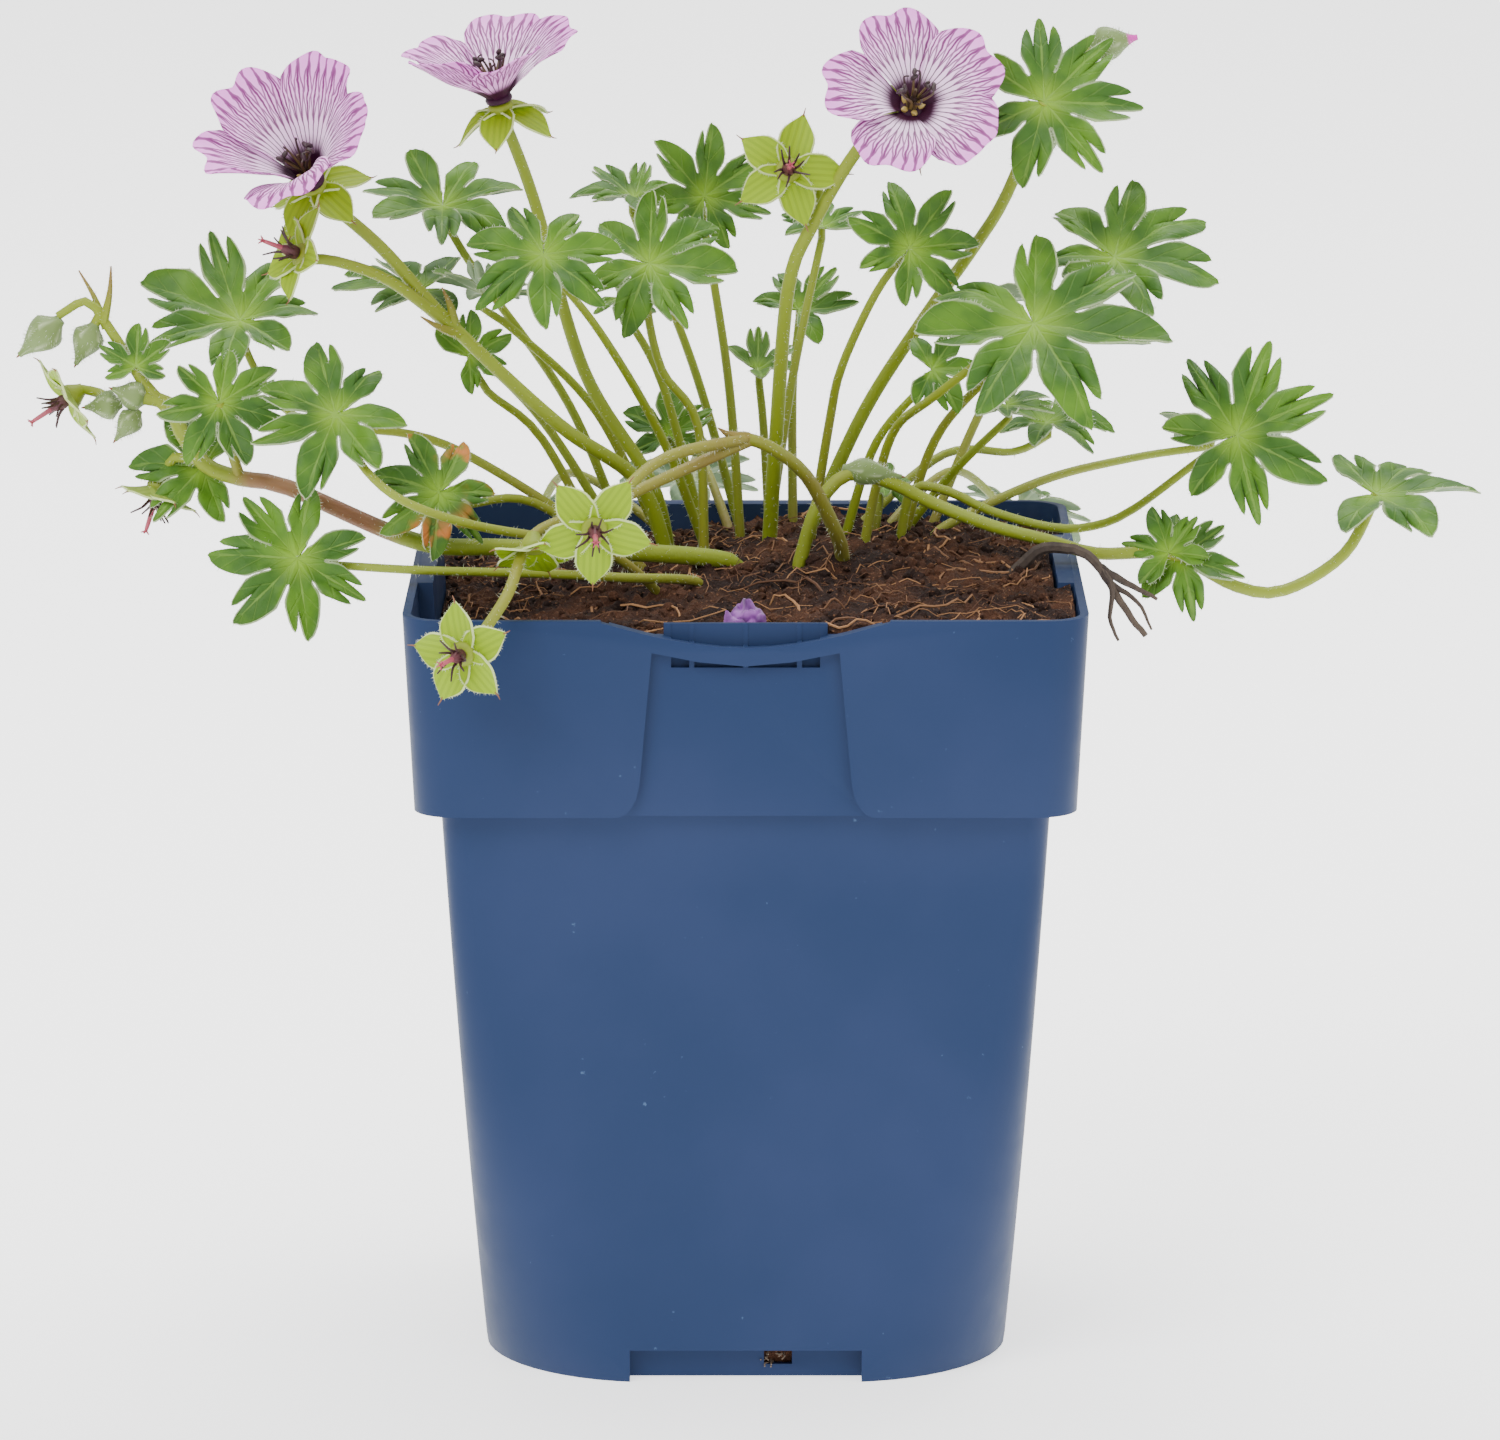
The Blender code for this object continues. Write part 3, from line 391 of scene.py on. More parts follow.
def new_effect(name: str, takes: dict[str, float], gives: list[str]) -> tuple:
    """Starts a shared shader effect.

    Args:
        name: The group's name.
        takes: Its inputs and their first values.
        gives: Its outputs.

    Returns:
        The node group, its wiring, its input sockets by name and its output node.
    """
    tree = bpy.data.node_groups.new(name, "ShaderNodeTree")
    for label, value in takes.items():
        socket = tree.interface.new_socket(name=label, in_out="INPUT", socket_type="NodeSocketFloat")
        socket.default_value = value
    for label in gives:
        tree.interface.new_socket(name=label, in_out="OUTPUT", socket_type="NodeSocketFloat")
    wiring = Wiring(tree)
    inputs = wiring.node("NodeGroupInput").outputs
    return tree, wiring, inputs, wiring.node("NodeGroupOutput")


class Effects:
    """The shader effects that several finishes share, each built once."""

    def __init__(self) -> None:
        """Builds every effect."""
        self.leaf_veins = self.make_leaf_veins()
        self.petal_veins = self.make_petal_veins()
        self.mottle = self.make_mottle()

    @staticmethod
    def make_leaf_veins() -> bpy.types.NodeTree:
        """A rib along each lobe and slanting side veins, from distances in millimetres."""
        takes = {"Across": 0.0, "Along": 0.0, "Warp": 0.0}
        tree, wiring, inputs, output = new_effect("leaf_veins", takes, ["Rib", "Veins"])
        side = wiring.math("ABSOLUTE", wiring.math("ADD", inputs["Across"], inputs["Warp"]))
        rib = wiring.step(side, 0.30, 0.08)
        slant = wiring.math("SUBTRACT", inputs["Along"], wiring.math("MULTIPLY", side, 1.5))
        slant = wiring.math("ADD", slant, wiring.math("MULTIPLY", inputs["Warp"], 2.0))
        wave = wiring.math("FRACT", wiring.math("DIVIDE", slant, 3.6))
        off = wiring.math("ABSOLUTE", wiring.math("SUBTRACT", wave, 0.5))
        veins = wiring.step(off, 0.10, 0.03)
        wiring.feed(output.inputs["Rib"], rib)
        wiring.feed(output.inputs["Veins"], veins)
        return tree

    @staticmethod
    def make_petal_veins() -> bpy.types.NodeTree:
        """Veins that fan from the claw, fork and meet in a net near the margin."""
        takes = {"Across": 0.5, "Along": 0.0, "Warp": 0.0}
        tree, wiring, inputs, output = new_effect("petal_veins", takes, ["Veins", "Net"])
        fan = wiring.math("MULTIPLY", wiring.math("SUBTRACT", inputs["Across"], 0.5), 10.0)
        fan = wiring.math("ADD", fan, wiring.math("MULTIPLY", inputs["Warp"], 0.55))
        late = wiring.math("MAXIMUM", wiring.math("SUBTRACT", inputs["Along"], 0.38), 0.0)

        def lines(lean: float, thin: float) -> bpy.types.NodeSocket:
            """Lines along the fan that lean sideways once they have left the claw."""
            moved = wiring.math("ADD", fan, wiring.math("MULTIPLY", late, lean))
            off = wiring.math("ABSOLUTE", wiring.math("SUBTRACT", wiring.math("FRACT", moved), 0.5))
            return wiring.step(off, thin, thin * 0.55)

        main = lines(0.0, 0.145)
        fork = wiring.math("MAXIMUM", lines(1.9, 0.105), lines(-1.9, 0.105))
        fork = wiring.math("MULTIPLY", fork, wiring.step(late, 0.0, 0.06))
        fade = wiring.step(inputs["Along"], 1.0, 0.80)
        main = wiring.math("MULTIPLY", main, wiring.math("ADD", wiring.math("MULTIPLY", fade, 0.4), 0.6))
        wiring.feed(output.inputs["Veins"], main)
        wiring.feed(output.inputs["Net"], fork)
        return tree

    @staticmethod
    def make_mottle() -> bpy.types.NodeTree:
        """Two soft scales of variation over a surface."""
        takes = {"Scale": 200.0}
        tree, wiring, inputs, output = new_effect("mottle", takes, ["Broad", "Fine"])
        for label, times in (("Broad", 0.25), ("Fine", 2.5)):
            made = wiring.node("ShaderNodeTexNoise")
            made.inputs["Detail"].default_value = 3.0
            wiring.feed(made.inputs["Scale"], wiring.math("MULTIPLY", inputs["Scale"], times))
            wiring.feed(made.inputs["Vector"], wiring.place())
            wiring.feed(output.inputs[label], made.outputs["Fac"])
        return tree


@cache
def shared_effects() -> Effects:
    """The shared effects, built when the first finish asks for them."""
    return Effects()


class Surface(Wiring):
    """The wiring round the shader of one finish."""

    def __init__(self, tree: bpy.types.NodeTree) -> None:
        """Keeps the tree, the shader's sockets and the shared effects."""
        super().__init__(tree)
        self.inputs = tree.nodes["Principled BSDF"].inputs
        self.effects = shared_effects()

    def paint(self, colour: bpy.types.NodeSocket) -> None:
        """Colours the surface."""
        self.feed(self.inputs["Base Color"], colour)

    def emboss(self, height: bpy.types.NodeSocket, strength: float, distance: float) -> None:
        """Bumps the surface.

        Args:
            height: The relief, from 0 to 1.
            strength: How much of it shows.
            distance: Its height in metres.
        """
        made = self.node("ShaderNodeBump")
        made.inputs["Strength"].default_value = strength
        made.inputs["Distance"].default_value = distance
        self.feed(made.inputs["Height"], height)
        self.feed(self.inputs["Normal"], made.outputs["Normal"])


@dataclass(frozen=True)
class Finish:
    """A surface finish: its name, its base colour and its roughness."""

    name: str
    colour: tuple
    roughness: float

    def dress(self, skin: Surface) -> None:
        """Adds what makes the finish more than a flat colour."""

    def material(self) -> bpy.types.Material:
        """The finish as a material, made once."""
        found = bpy.data.materials.get(self.name)
        if found:
            return found
        made = bpy.data.materials.new(self.name)
        made.use_nodes = True
        skin = Surface(made.node_tree)
        skin.inputs["Base Color"].default_value = (*self.colour, 1.0)
        skin.inputs["Roughness"].default_value = self.roughness
        self.dress(skin)
        return made


@dataclass(frozen=True)
class PotPlastic(Finish):
    """Moulded blue plastic with faint flow marks and pale scuffs; on its bevelled edges the pale is part
    wear, part painted highlight.
    """

    # Pale scuff colour; on the edge material it also stands for a painted highlight along the edges
    scuff_and_edge_light: tuple = (0.070, 0.125, 0.240)
    dusty: tuple = (0.0205, 0.0355, 0.092)
    scuffs: float = 0.735

    def dress(self, skin: Surface) -> None:
        """Mottles the blue, scuffs it and roughens it unevenly; on the edge material the pale scuffs also
        paint a highlight.
        """
        mottle = skin.group(skin.effects.mottle, Scale=90.0)
        broad = skin.step(mottle.outputs["Broad"], 0.35, 0.75)
        colour = skin.mix(broad, self.colour, self.dusty)
        scuff = skin.step(skin.cloud(700.0, 3.0), self.scuffs, self.scuffs + 0.07)
        colour = skin.mix(skin.math("MULTIPLY", scuff, 0.7), colour, self.scuff_and_edge_light)
        skin.paint(colour)
        rough = skin.math("MULTIPLY", mottle.outputs["Fine"], 0.16)
        skin.feed(skin.inputs["Roughness"], skin.math("ADD", rough, self.roughness - 0.08))
        skin.emboss(skin.cloud(1400.0, 4.0), 0.25, 0.00002)
        skin.inputs["Specular IOR Level"].default_value = 0.10


@dataclass(frozen=True)
class PeatCrumb(Finish):
    """Moist peat: dark crumbs, brown crumbs and orange specks."""

    warm: tuple = (0.068, 0.027, 0.013)
    bright: tuple = (0.170, 0.080, 0.040)

    def dress(self, skin: Surface) -> None:
        """Speckles the peat and gives it a crumbly relief."""
        mottle = skin.group(skin.effects.mottle, Scale=420.0)
        grain = skin.cloud(1600.0, 5.0)
        broad = skin.step(mottle.outputs["Broad"], 0.38, 0.66)
        colour = skin.mix(broad, self.colour, self.warm)
        colour = skin.mix(skin.step(grain, 0.58, 0.72), colour, self.bright)
        skin.paint(colour)
        skin.emboss(grain, 0.9, 0.0012)
        skin.inputs["Specular IOR Level"].default_value = 0.25


@dataclass(frozen=True)
class Strand(Finish):
    """Coir fibre, root or straw, each strand in its own shade."""

    pale: tuple = (0.38, 0.19, 0.08)

    def dress(self, skin: Surface) -> None:
        """Shades the strand by its own value and along its length."""
        share = skin.math("ADD", skin.surface("shade"), -0.15)
        share = skin.math("ADD", share, skin.math("MULTIPLY", skin.cloud(700.0), 0.3))
        skin.paint(skin.mix(share, self.colour, self.pale))
        skin.emboss(skin.cloud(3000.0), 0.4, 0.0002)


@dataclass(frozen=True)
class LeafFace(Finish):
    """The upper face of a blade: green, yellower at its heart, with pale ribs and a pale margin."""

    heart: tuple = (0.180, 0.330, 0.010)
    rib: tuple = (0.170, 0.300, 0.040)
    margin: tuple = (0.420, 0.500, 0.280)
    deep: tuple = (0.028, 0.096, 0.003)
    blush: tuple = (0.520, 0.140, 0.020)
    blush_share: float = 0.0
    relief: float = 0.55

    def dress(self, skin: Surface) -> None:
        """Paints the veins, the heart, the margin and, on an ageing blade, its blush."""
        across, along = skin.flat()
        warp = skin.math("MULTIPLY", skin.math("SUBTRACT", skin.cloud(260.0), 0.5), 0.9)
        veins = skin.group(
            skin.effects.leaf_veins,
            Across=skin.math("MULTIPLY", across, FLAT_SCALE),
            Along=skin.math("MULTIPLY", along, FLAT_SCALE),
            Warp=warp,
        )
        mottle = skin.group(skin.effects.mottle, Scale=500.0)
        share = skin.surface("shade")
        colour = skin.mix(skin.step(mottle.outputs["Broad"], 0.36, 0.68), self.deep, self.colour)
        colour = skin.mix(skin.step(share, 0.34, 0.0), colour, self.heart)
        vein = skin.math("MULTIPLY", veins.outputs["Veins"], 0.14)
        colour = skin.mix(vein, colour, self.rib)
        rib = skin.math("MULTIPLY", veins.outputs["Rib"], skin.step(share, 1.05, 0.55))
        colour = skin.mix(skin.math("MULTIPLY", rib, 0.5), colour, self.rib)
        if self.blush_share:
            patch = skin.step(skin.cloud(130.0, 4.0), 0.50, 0.60)
            patch = skin.math("MULTIPLY", patch, skin.step(share, 0.25, 0.65))
            colour = skin.mix(skin.math("MULTIPLY", patch, self.blush_share), colour, self.blush)
        edge = skin.math("MULTIPLY", skin.step(skin.surface("rim"), 0.93, 1.0), 0.6)
        skin.paint(skin.mix(edge, colour, self.margin))
        raised = skin.math("MAXIMUM", veins.outputs["Veins"], veins.outputs["Rib"])
        sunk = skin.math("MULTIPLY", skin.math("SUBTRACT", 1.0, raised), 0.7)
        height = skin.math("ADD", sunk, skin.math("MULTIPLY", mottle.outputs["Fine"], 0.5))
        skin.emboss(height, self.relief, 0.00025)
        skin.inputs["Specular IOR Level"].default_value = 0.32
        skin.inputs["Sheen Weight"].default_value = 0.06
        skin.inputs["Sheen Roughness"].default_value = 0.5


@dataclass(frozen=True)
class StemSkin(Finish):
    """Yellow-green hairy skin that turns brown or purple where its shade value says so."""

    brown: tuple = (0.190, 0.072, 0.026)

    def dress(self, skin: Surface) -> None:
        """Streaks the skin and tints it by its shade value."""
        mottle = skin.group(skin.effects.mottle, Scale=600.0)
        streak = skin.math("MULTIPLY", mottle.outputs["Broad"], 0.35)
        tint = skin.math("ADD", skin.surface("shade"), streak)
        colour = skin.mix(skin.step(tint, 0.25, 1.15), self.colour, self.brown)
        skin.paint(colour)
        skin.emboss(mottle.outputs["Fine"], 0.35, 0.0003)
        skin.inputs["Sheen Weight"].default_value = 0.04


@dataclass(frozen=True)
class SepalFace(Finish):
    """Lime sepal with fine lines along it and a pale velvety margin."""

    line: tuple = (0.130, 0.220, 0.004)
    margin: tuple = (0.520, 0.620, 0.240)

    def dress(self, skin: Surface) -> None:
        """Draws the lines and the margin."""
        across, along = skin.flat()
        wave = skin.math("FRACT", skin.math("MULTIPLY", across, 46.0))
        off = skin.math("ABSOLUTE", skin.math("SUBTRACT", wave, 0.5))
        lines = skin.math("MULTIPLY", skin.step(off, 0.30, 0.12), 0.35)
        colour = skin.mix(lines, self.colour, self.line)
        edge = skin.step(skin.surface("rim"), 0.92, 1.0)
        skin.paint(skin.mix(edge, colour, self.margin))
        skin.emboss(lines, 0.4, 0.0003)
        skin.inputs["Specular IOR Level"].default_value = 0.25


@dataclass(frozen=True)
class PetalSilk(Finish):
    """Pale pink silk with magenta veins that darken towards the flower's eye."""

    vein: tuple = (0.130, 0.0005, 0.095)
    dark_vein: tuple = (0.030, 0.0005, 0.018)
    flush: tuple = (0.860, 0.270, 0.800)

    def dress(self, skin: Surface) -> None:
        """Draws the veins and the eye."""
        across, along = skin.flat()
        warp = skin.math("SUBTRACT", skin.cloud(420.0, 2.0), 0.5)
        veins = skin.group(skin.effects.petal_veins, Across=across, Along=along, Warp=warp)
        colour = skin.mix(skin.step(along, 0.30, 1.00), self.colour, self.flush)
        ink = skin.mix(skin.step(along, 0.62, 0.16), self.vein, self.dark_vein)
        net = skin.math("MULTIPLY", veins.outputs["Net"], 0.85)
        drawn = skin.math("MAXIMUM", veins.outputs["Veins"], net)
        colour = skin.mix(skin.math("MULTIPLY", drawn, 0.92), colour, ink)
        eye = skin.step(along, 0.34, 0.16)
        skin.paint(skin.mix(eye, colour, self.dark_vein))
        skin.emboss(drawn, 0.25, 0.0001)
        skin.inputs["Specular IOR Level"].default_value = 0.25
        skin.inputs["Subsurface Weight"].default_value = 0.30
        skin.inputs["Subsurface Radius"].default_value = (1.0, 0.7, 1.0)
        skin.inputs["Subsurface Scale"].default_value = 0.0001


@dataclass(frozen=True)
class Filament(Finish):
    """Dark stamens that turn yellowish or pink where their shade value says so."""

    pale: tuple = (0.420, 0.300, 0.080)

    def dress(self, skin: Surface) -> None:
        """Tints each filament by its shade value."""
        grain = skin.math("MULTIPLY", skin.cloud(1500.0), 0.05)
        share = skin.math("ADD", skin.surface("shade"), grain)
        skin.paint(skin.mix(share, self.colour, self.pale))
        skin.emboss(skin.cloud(2600.0), 0.4, 0.0002)


@dataclass(frozen=True)
class Velvet(Finish):
    """Plain fine growth, such as hairs, or a withered petal, with a little variation."""

    other: tuple = (0.70, 0.74, 0.62)
    sheen: float = 0.2

    def dress(self, skin: Surface) -> None:
        """Varies the colour softly."""
        share = skin.step(skin.cloud(500.0, 3.0), 0.35, 0.65)
        skin.paint(skin.mix(share, self.colour, self.other))
        skin.emboss(skin.cloud(1800.0), 0.3, 0.0002)
        skin.inputs["Sheen Weight"].default_value = self.sheen


@dataclass(frozen=True)
class BudSkin(Finish):
    """A closed bud's sepals: grey-green, paler along their edges, pink where the petals show."""

    pale: tuple = (0.330, 0.400, 0.200)
    petal: tuple = (0.560, 0.030, 0.360)

    def dress(self, skin: Surface) -> None:
        """Paints the edges of the sepals and the bud's tip."""
        colour = skin.mix(skin.surface("rim"), self.colour, self.pale)
        skin.paint(skin.mix(skin.surface("shade"), colour, self.petal))
        skin.emboss(skin.cloud(1200.0), 0.3, 0.0003)
        skin.inputs["Sheen Weight"].default_value = 0.15


@dataclass(frozen=True)
class Paper(Finish):
    """White studio paper that glows though it is no lamp: painted light, brightest behind the plant."""

    glow: float = 1.7

    def dress(self, skin: Surface) -> None:
        """Gives the paper its painted glow, most of it behind the plant, where it also lights the plant from
        behind.
        """
        place = skin.node("ShaderNodeSeparateXYZ")
        skin.feed(place.inputs[0], skin.place())
        # Painted light: the floor glows at about a third of its strength in front and at full strength behind
        # the plant
        behind = skin.step(place.outputs["Y"], -0.35, 0.15)
        skin.feed(skin.inputs["Emission Color"], skin.mix(behind, (0.35,) * 3, (1.0,) * 3))
        skin.inputs["Emission Strength"].default_value = self.glow


POT_PLASTIC = PotPlastic("moulded_plastic", (0.0155, 0.0300, 0.080), 0.46)
# Bevelled edges: paler blue, more of it scuffed pale; part wear, part painted highlight where the edges catch
# light
POT_EDGE = PotPlastic("moulded_plastic_edge_light_and_wear", (0.026, 0.056, 0.135), 0.50, scuffs=0.44)
PEAT = PeatCrumb("peat_crumb", (0.020, 0.010, 0.008), 0.92)
FIBRE = Strand("coir_fibre", (0.080, 0.032, 0.015), 0.85)
ROOT = Strand("dark_root", (0.018, 0.010, 0.008), 0.80, pale=(0.30, 0.22, 0.15))
LEAF_TOP = LeafFace("leaf_top", (0.075, 0.185, 0.004), 0.55)
LEAF_AGEING = LeafFace("leaf_ageing", (0.080, 0.180, 0.008), 0.55, blush_share=0.85)
LEAF_YOUNG = LeafFace("leaf_young", (0.115, 0.250, 0.012), 0.58, deep=(0.05, 0.13, 0.006))
LEAF_UNDER = LeafFace(
    "leaf_under",
    (0.165, 0.240, 0.120),
    0.70,
    heart=(0.24, 0.32, 0.11),
    rib=(0.34, 0.42, 0.24),
    deep=(0.110, 0.185, 0.080),
    relief=-0.55,
)
STEM_SKIN = StemSkin("stem_skin", (0.195, 0.252, 0.003), 0.60)
SEPAL_FACE = SepalFace("sepal_face", (0.230, 0.360, 0.001), 0.60)
SEPAL_UNDER = SepalFace("sepal_under", (0.240, 0.330, 0.045), 0.65, line=(0.15, 0.23, 0.02))
PETAL_SILK = PetalSilk("petal_silk", (0.970, 0.680, 0.945), 0.50)
PETAL_UNDER = PetalSilk("petal_under", (0.840, 0.360, 0.790), 0.55)
STAMEN = Filament("dark_filament", (0.016, 0.004, 0.010), 0.45)
STYLE = Filament("spent_stamen", (0.022, 0.008, 0.010), 0.55, pale=(0.420, 0.070, 0.110))
HAIR = Velvet("white_hair", (0.66, 0.70, 0.55), 0.5, other=(0.54, 0.60, 0.42))
BUD_SKIN = BudSkin("bud_skin", (0.135, 0.205, 0.050), 0.60)
WITHERED = Velvet("withered_silk", (0.100, 0.010, 0.150), 0.55, other=(0.24, 0.05, 0.32), sheen=0.4)
# The floor glows: painted light, brightest behind the plant
PAPER = Paper("glowing_studio_paper", (0.90, 0.90, 0.90), 0.9)

# In the order of Look
GROWTH = (
    LEAF_TOP, LEAF_UNDER, STEM_SKIN, HAIR, SEPAL_FACE, SEPAL_UNDER, PETAL_SILK, PETAL_UNDER, BUD_SKIN
)


# ---------------------------------------------------------------- meshes


def smooth_path(points: list, spacing: float) -> list[Vector]:
    """Points along a Catmull-Rom curve.

    Args:
        points: The points that the curve passes.
        spacing: Roughly how far apart the results stand.

    Returns:
        The points, from the first given one to the last.
    """
    knots = [Vector(point) for point in points]
    knots = [knots[0] * 2 - knots[1], *knots, knots[-1] * 2 - knots[-2]]
    path = [knots[1]]
    for before, start, end, after in zip(knots, knots[1:], knots[2:], knots[3:]):
        steps = max(1, round((end - start).length / spacing))
        for step in range(1, steps + 1):
            t = step / steps
            square, cube = t * t, t * t * t
            place = 2 * start + (end - before) * t
            place += (2 * before - 5 * start + 4 * end - after) * square
            place += (3 * start - before - 3 * end + after) * cube
            path.append(place * 0.5)
    return path


def chance_way(draw: random.Random) -> Vector:
    """A vector in a direction drawn by chance."""
    return Vector([draw.gauss(0, 1) for _ in range(3)])


def ease(share: float) -> float:
    """A smooth step from 0 to 1."""
    share = min(1.0, max(0.0, share))
    return share * share * (3 - 2 * share)


def new_object(name: str, data: bpy.types.ID) -> bpy.types.Object:
    """A new object in the scene that holds the data."""
    made = bpy.data.objects.new(name, data)
    bpy.context.scene.collection.objects.link(made)
    return made


class Draft:
    """Gathers the points and faces of one mesh, with the values that its finishes read."""

    def __init__(self) -> None:
        """Starts empty."""
        self.points: list[tuple] = []
        self.values: list[tuple] = []
        self.faces: list[tuple] = []
        self.looks: list[int] = []

    def point(self, place: Vector, shade: float = 0.0, rim: float = 0.0, flat: tuple = (0.5, 0.0)) -> int:
        """Adds a point.

        Args:
            place: Where it stands.
            shade: Its shade value.
            rim: How near it is to a margin, from 0 to 1.
            flat: Its flat coordinates.

        Returns:
            Its number.
        """
        self.points.append((place[0], place[1], place[2]))
        self.values.append((shade, rim, flat[0], flat[1]))
        return len(self.points) - 1

    def face(self, corners: Iterable[int], look: Look) -> None:
        """Adds a face in the given look."""
        self.faces.append(tuple(corners))
        self.looks.append(look.value)

    def grid(self, rows: list, look: Look, closed: bool = False, turned: bool = False) -> None:
        """Joins rows of points with faces.

        Args:
            rows: The numbers of the points, row by row.
            look: The look of the faces.
            closed: Whether each row joins its own start.
            turned: Whether the faces look to the other side.
        """
        for low, high in zip(rows, rows[1:]):
            for column in range(len(low) if closed else len(low) - 1):
                after = (column + 1) % len(low)
                if turned:
                    self.face((low[column], low[after], high[after], high[column]), look)
                else:
                    self.face((low[column], high[column], high[after], low[after]), look)

    def join(self, other: "Draft") -> None:
        """Adds another draft's points and faces to this one."""
        first = len(self.points)
        self.points += other.points
        self.values += other.values
        self.faces += [tuple(corner + first for corner in face) for face in other.faces]
        self.looks += other.looks

    def ring(self, middle: Vector, ways: tuple, radius: float, sides: int, shade: float) -> list[int]:
        """Adds a ring of points.

        Args:
            middle: Its middle.
            ways: Two directions across it.
            radius: Its radius.
            sides: How many points it has.
            shade: Their shade value.

        Returns:
            The points' numbers.
        """
        made = []
        for step in range(sides):
            angle = 2 * math.pi * step / sides
            out = ways[0] * math.cos(angle) - ways[1] * math.sin(angle)
            made.append(self.point(middle + out * radius, shade))
        return made

    def close(self, rings: list[list[int]], look: Look) -> None:
        """Joins rings into a form with closed ends."""
        self.grid(rings, look, closed=True)
        self.face(rings[0], look)
        self.face(reversed(rings[-1]), look)

    def tube(
        self,
        path: list,
        radii: tuple,
        look: Look,
        sides: int = 8,
        shades: tuple = (0.0, 0.0),
        tint: object = None,
    ) -> None:
        """Adds a round stalk with closed ends.

        Args:
            path: The points along its middle.
            radii: Its first and last radius.
            look: Its look.
            sides: The points round it.
            shades: Its first and last shade value.
            tint: Gives more shade at a place, or None.
        """
        rings = []
        last = len(path) - 1
        side = None
        for index, place in enumerate(path):
            place = Vector(place)
            run = (Vector(path[min(last, index + 1)]) - Vector(path[max(0, index - 1)])).normalized()
            if side is None:
                side = run.orthogonal().normalized()
            side = (side - run * side.dot(run)).normalized()
            share = index / last
            radius = radii[0] + (radii[1] - radii[0]) * share
            shade = shades[0] + (shades[1] - shades[0]) * share + (tint(place) if tint else 0.0)
            rings.append(self.ring(place, (side, run.cross(side)), radius, sides, shade))
        self.close(rings, look)

    def fur(self, path: list, radii: tuple, draw: random.Random, each_mm: float, length: float) -> None:
        """Adds short hairs round a stalk.

        Args:
            path: The points along the stalk's middle.
            radii: The stalk's first and last radius.
            draw: The source of chance.
            each_mm: How many hairs stand on a millimetre of stalk.
            length: How long they are.
        """
        for index, (start, end) in enumerate(zip(path, path[1:])):
            run = end - start
            radius = radii[0] + (radii[1] - radii[0]) * index / (len(path) - 1)
            for _ in range(int(run.length * each_mm + draw.random())):
                out = chance_way(draw)
                out = (out - run * (out.dot(run) / run.length_squared)).normalized()
                root = start + run * draw.random() + out * radius * 0.9
                way = out + run.normalized() * draw.uniform(-0.3, 0.5)
                self.hair(root, way, length * draw.uniform(0.6, 1.3))

    def hair(self, root: Vector, way: Vector, length: float, radius: float = 0.038) -> None:
        """Adds one fine pointed hair.

        Args:
            root: Where it starts.
            way: Its direction.
            length: How long it is.
            radius: Its radius at the root.
        """
        way = way.normalized()
        side = way.orthogonal().normalized() * radius
        other = way.cross(side)
        base = [self.point(root + side), self.point(root - side * 0.5 + other * 0.87)]
        base.append(self.point(root - side * 0.5 - other * 0.87))
        tip = self.point(root + way * length)
        for first, second in ((0, 1), (1, 2), (2, 0)):
            self.face((base[first], base[second], tip), Look.HAIR)
        self.face(reversed(base), Look.HAIR)

    def lathe(
        self,
        start: Vector,
        axis: Vector,
        profile: list,
        look: Look,
        sides: int = 12,
        shades: tuple = (0.0, 0.0),
    ) -> None:
        """Adds a closed turned form.

        Args:
            start: Its foot.
            axis: Its direction.
            profile: Pairs of a distance along the axis and a radius.
            look: Its look.
            sides: The points round it.
            shades: Its first and last shade value.
        """
        axis = Vector(axis).normalized()
        side = axis.orthogonal().normalized()
        ways = side, axis.cross(side)
        rings = []
        for index, (distance, radius) in enumerate(profile):
            shade = shades[0] + (shades[1] - shades[0]) * index / (len(profile) - 1)
            rings.append(self.ring(Vector(start) + axis * distance, ways, radius, sides, shade))
        self.close(rings, look)

    def normals(self) -> np.ndarray:
        """The direction that each point faces."""
        points = np.array(self.points)
        corners = [(f[0], f[k], f[k + 1]) for f in self.faces for k in range(1, len(f) - 1)]
        corners = np.array(corners)
        first, second, third = (points[corners[:, k]] for k in range(3))
        faces = np.cross(second - first, third - first)
        found = np.zeros_like(points)
        for column in range(3):
            np.add.at(found, corners[:, column], faces)
        return found / np.maximum(np.linalg.norm(found, axis=1, keepdims=True), 1e-12)

    def open_edges(self) -> list[tuple]:
        """The edges that only one face has, in that face's direction."""
        seen = {}
        for face in self.faces:
            for first, second in zip(face, (*face[1:], face[0])):
                key = (min(first, second), max(first, second))
                seen[key] = None if key in seen else (first, second)
        return [edge for edge in seen.values() if edge]

    def sheet(
        self,
        thickness: float,
        under: Look,
        fringe: tuple = (),
        draw: random.Random | None = None,
    ) -> None:
        """Gives an open sheet its thickness, and hairs along its margin.

        Args:
            thickness: How thick it is.
            under: The look of its under side.
            fringe: The spacing and the length of the hairs, or nothing.
            draw: The source of chance for the hairs.
        """
        normals, edges, count = self.normals(), self.open_edges(), len(self.points)
        middle = np.array(self.points)
        half = normals * thickness / 2
        self.points = [tuple(place) for place in middle + half]
        self.points += [tuple(place) for place in middle - half]
        self.values += list(self.values)
        looks = list(self.looks)
        for face in list(self.faces):
            self.face([corner + count for corner in reversed(face)], under)
        for first, second in edges:
            self.face((first, first + count, second + count, second), Look(looks[0]))
        if not fringe:
            return
        for first, second in edges:
            start, end = Vector(middle[first]), Vector(middle[second])
            normal = Vector(normals[first])
            run = end - start
            out = run.cross(normal).normalized()
            for _ in range(int(run.length / fringe[0] + draw.random())):
                way = out + normal * draw.uniform(-0.45, 0.45) + run.normalized() * draw.uniform(-0.5, 0.5)
                self.hair(start.lerp(end, draw.random()), way, fringe[1] * draw.uniform(0.55, 1.25))

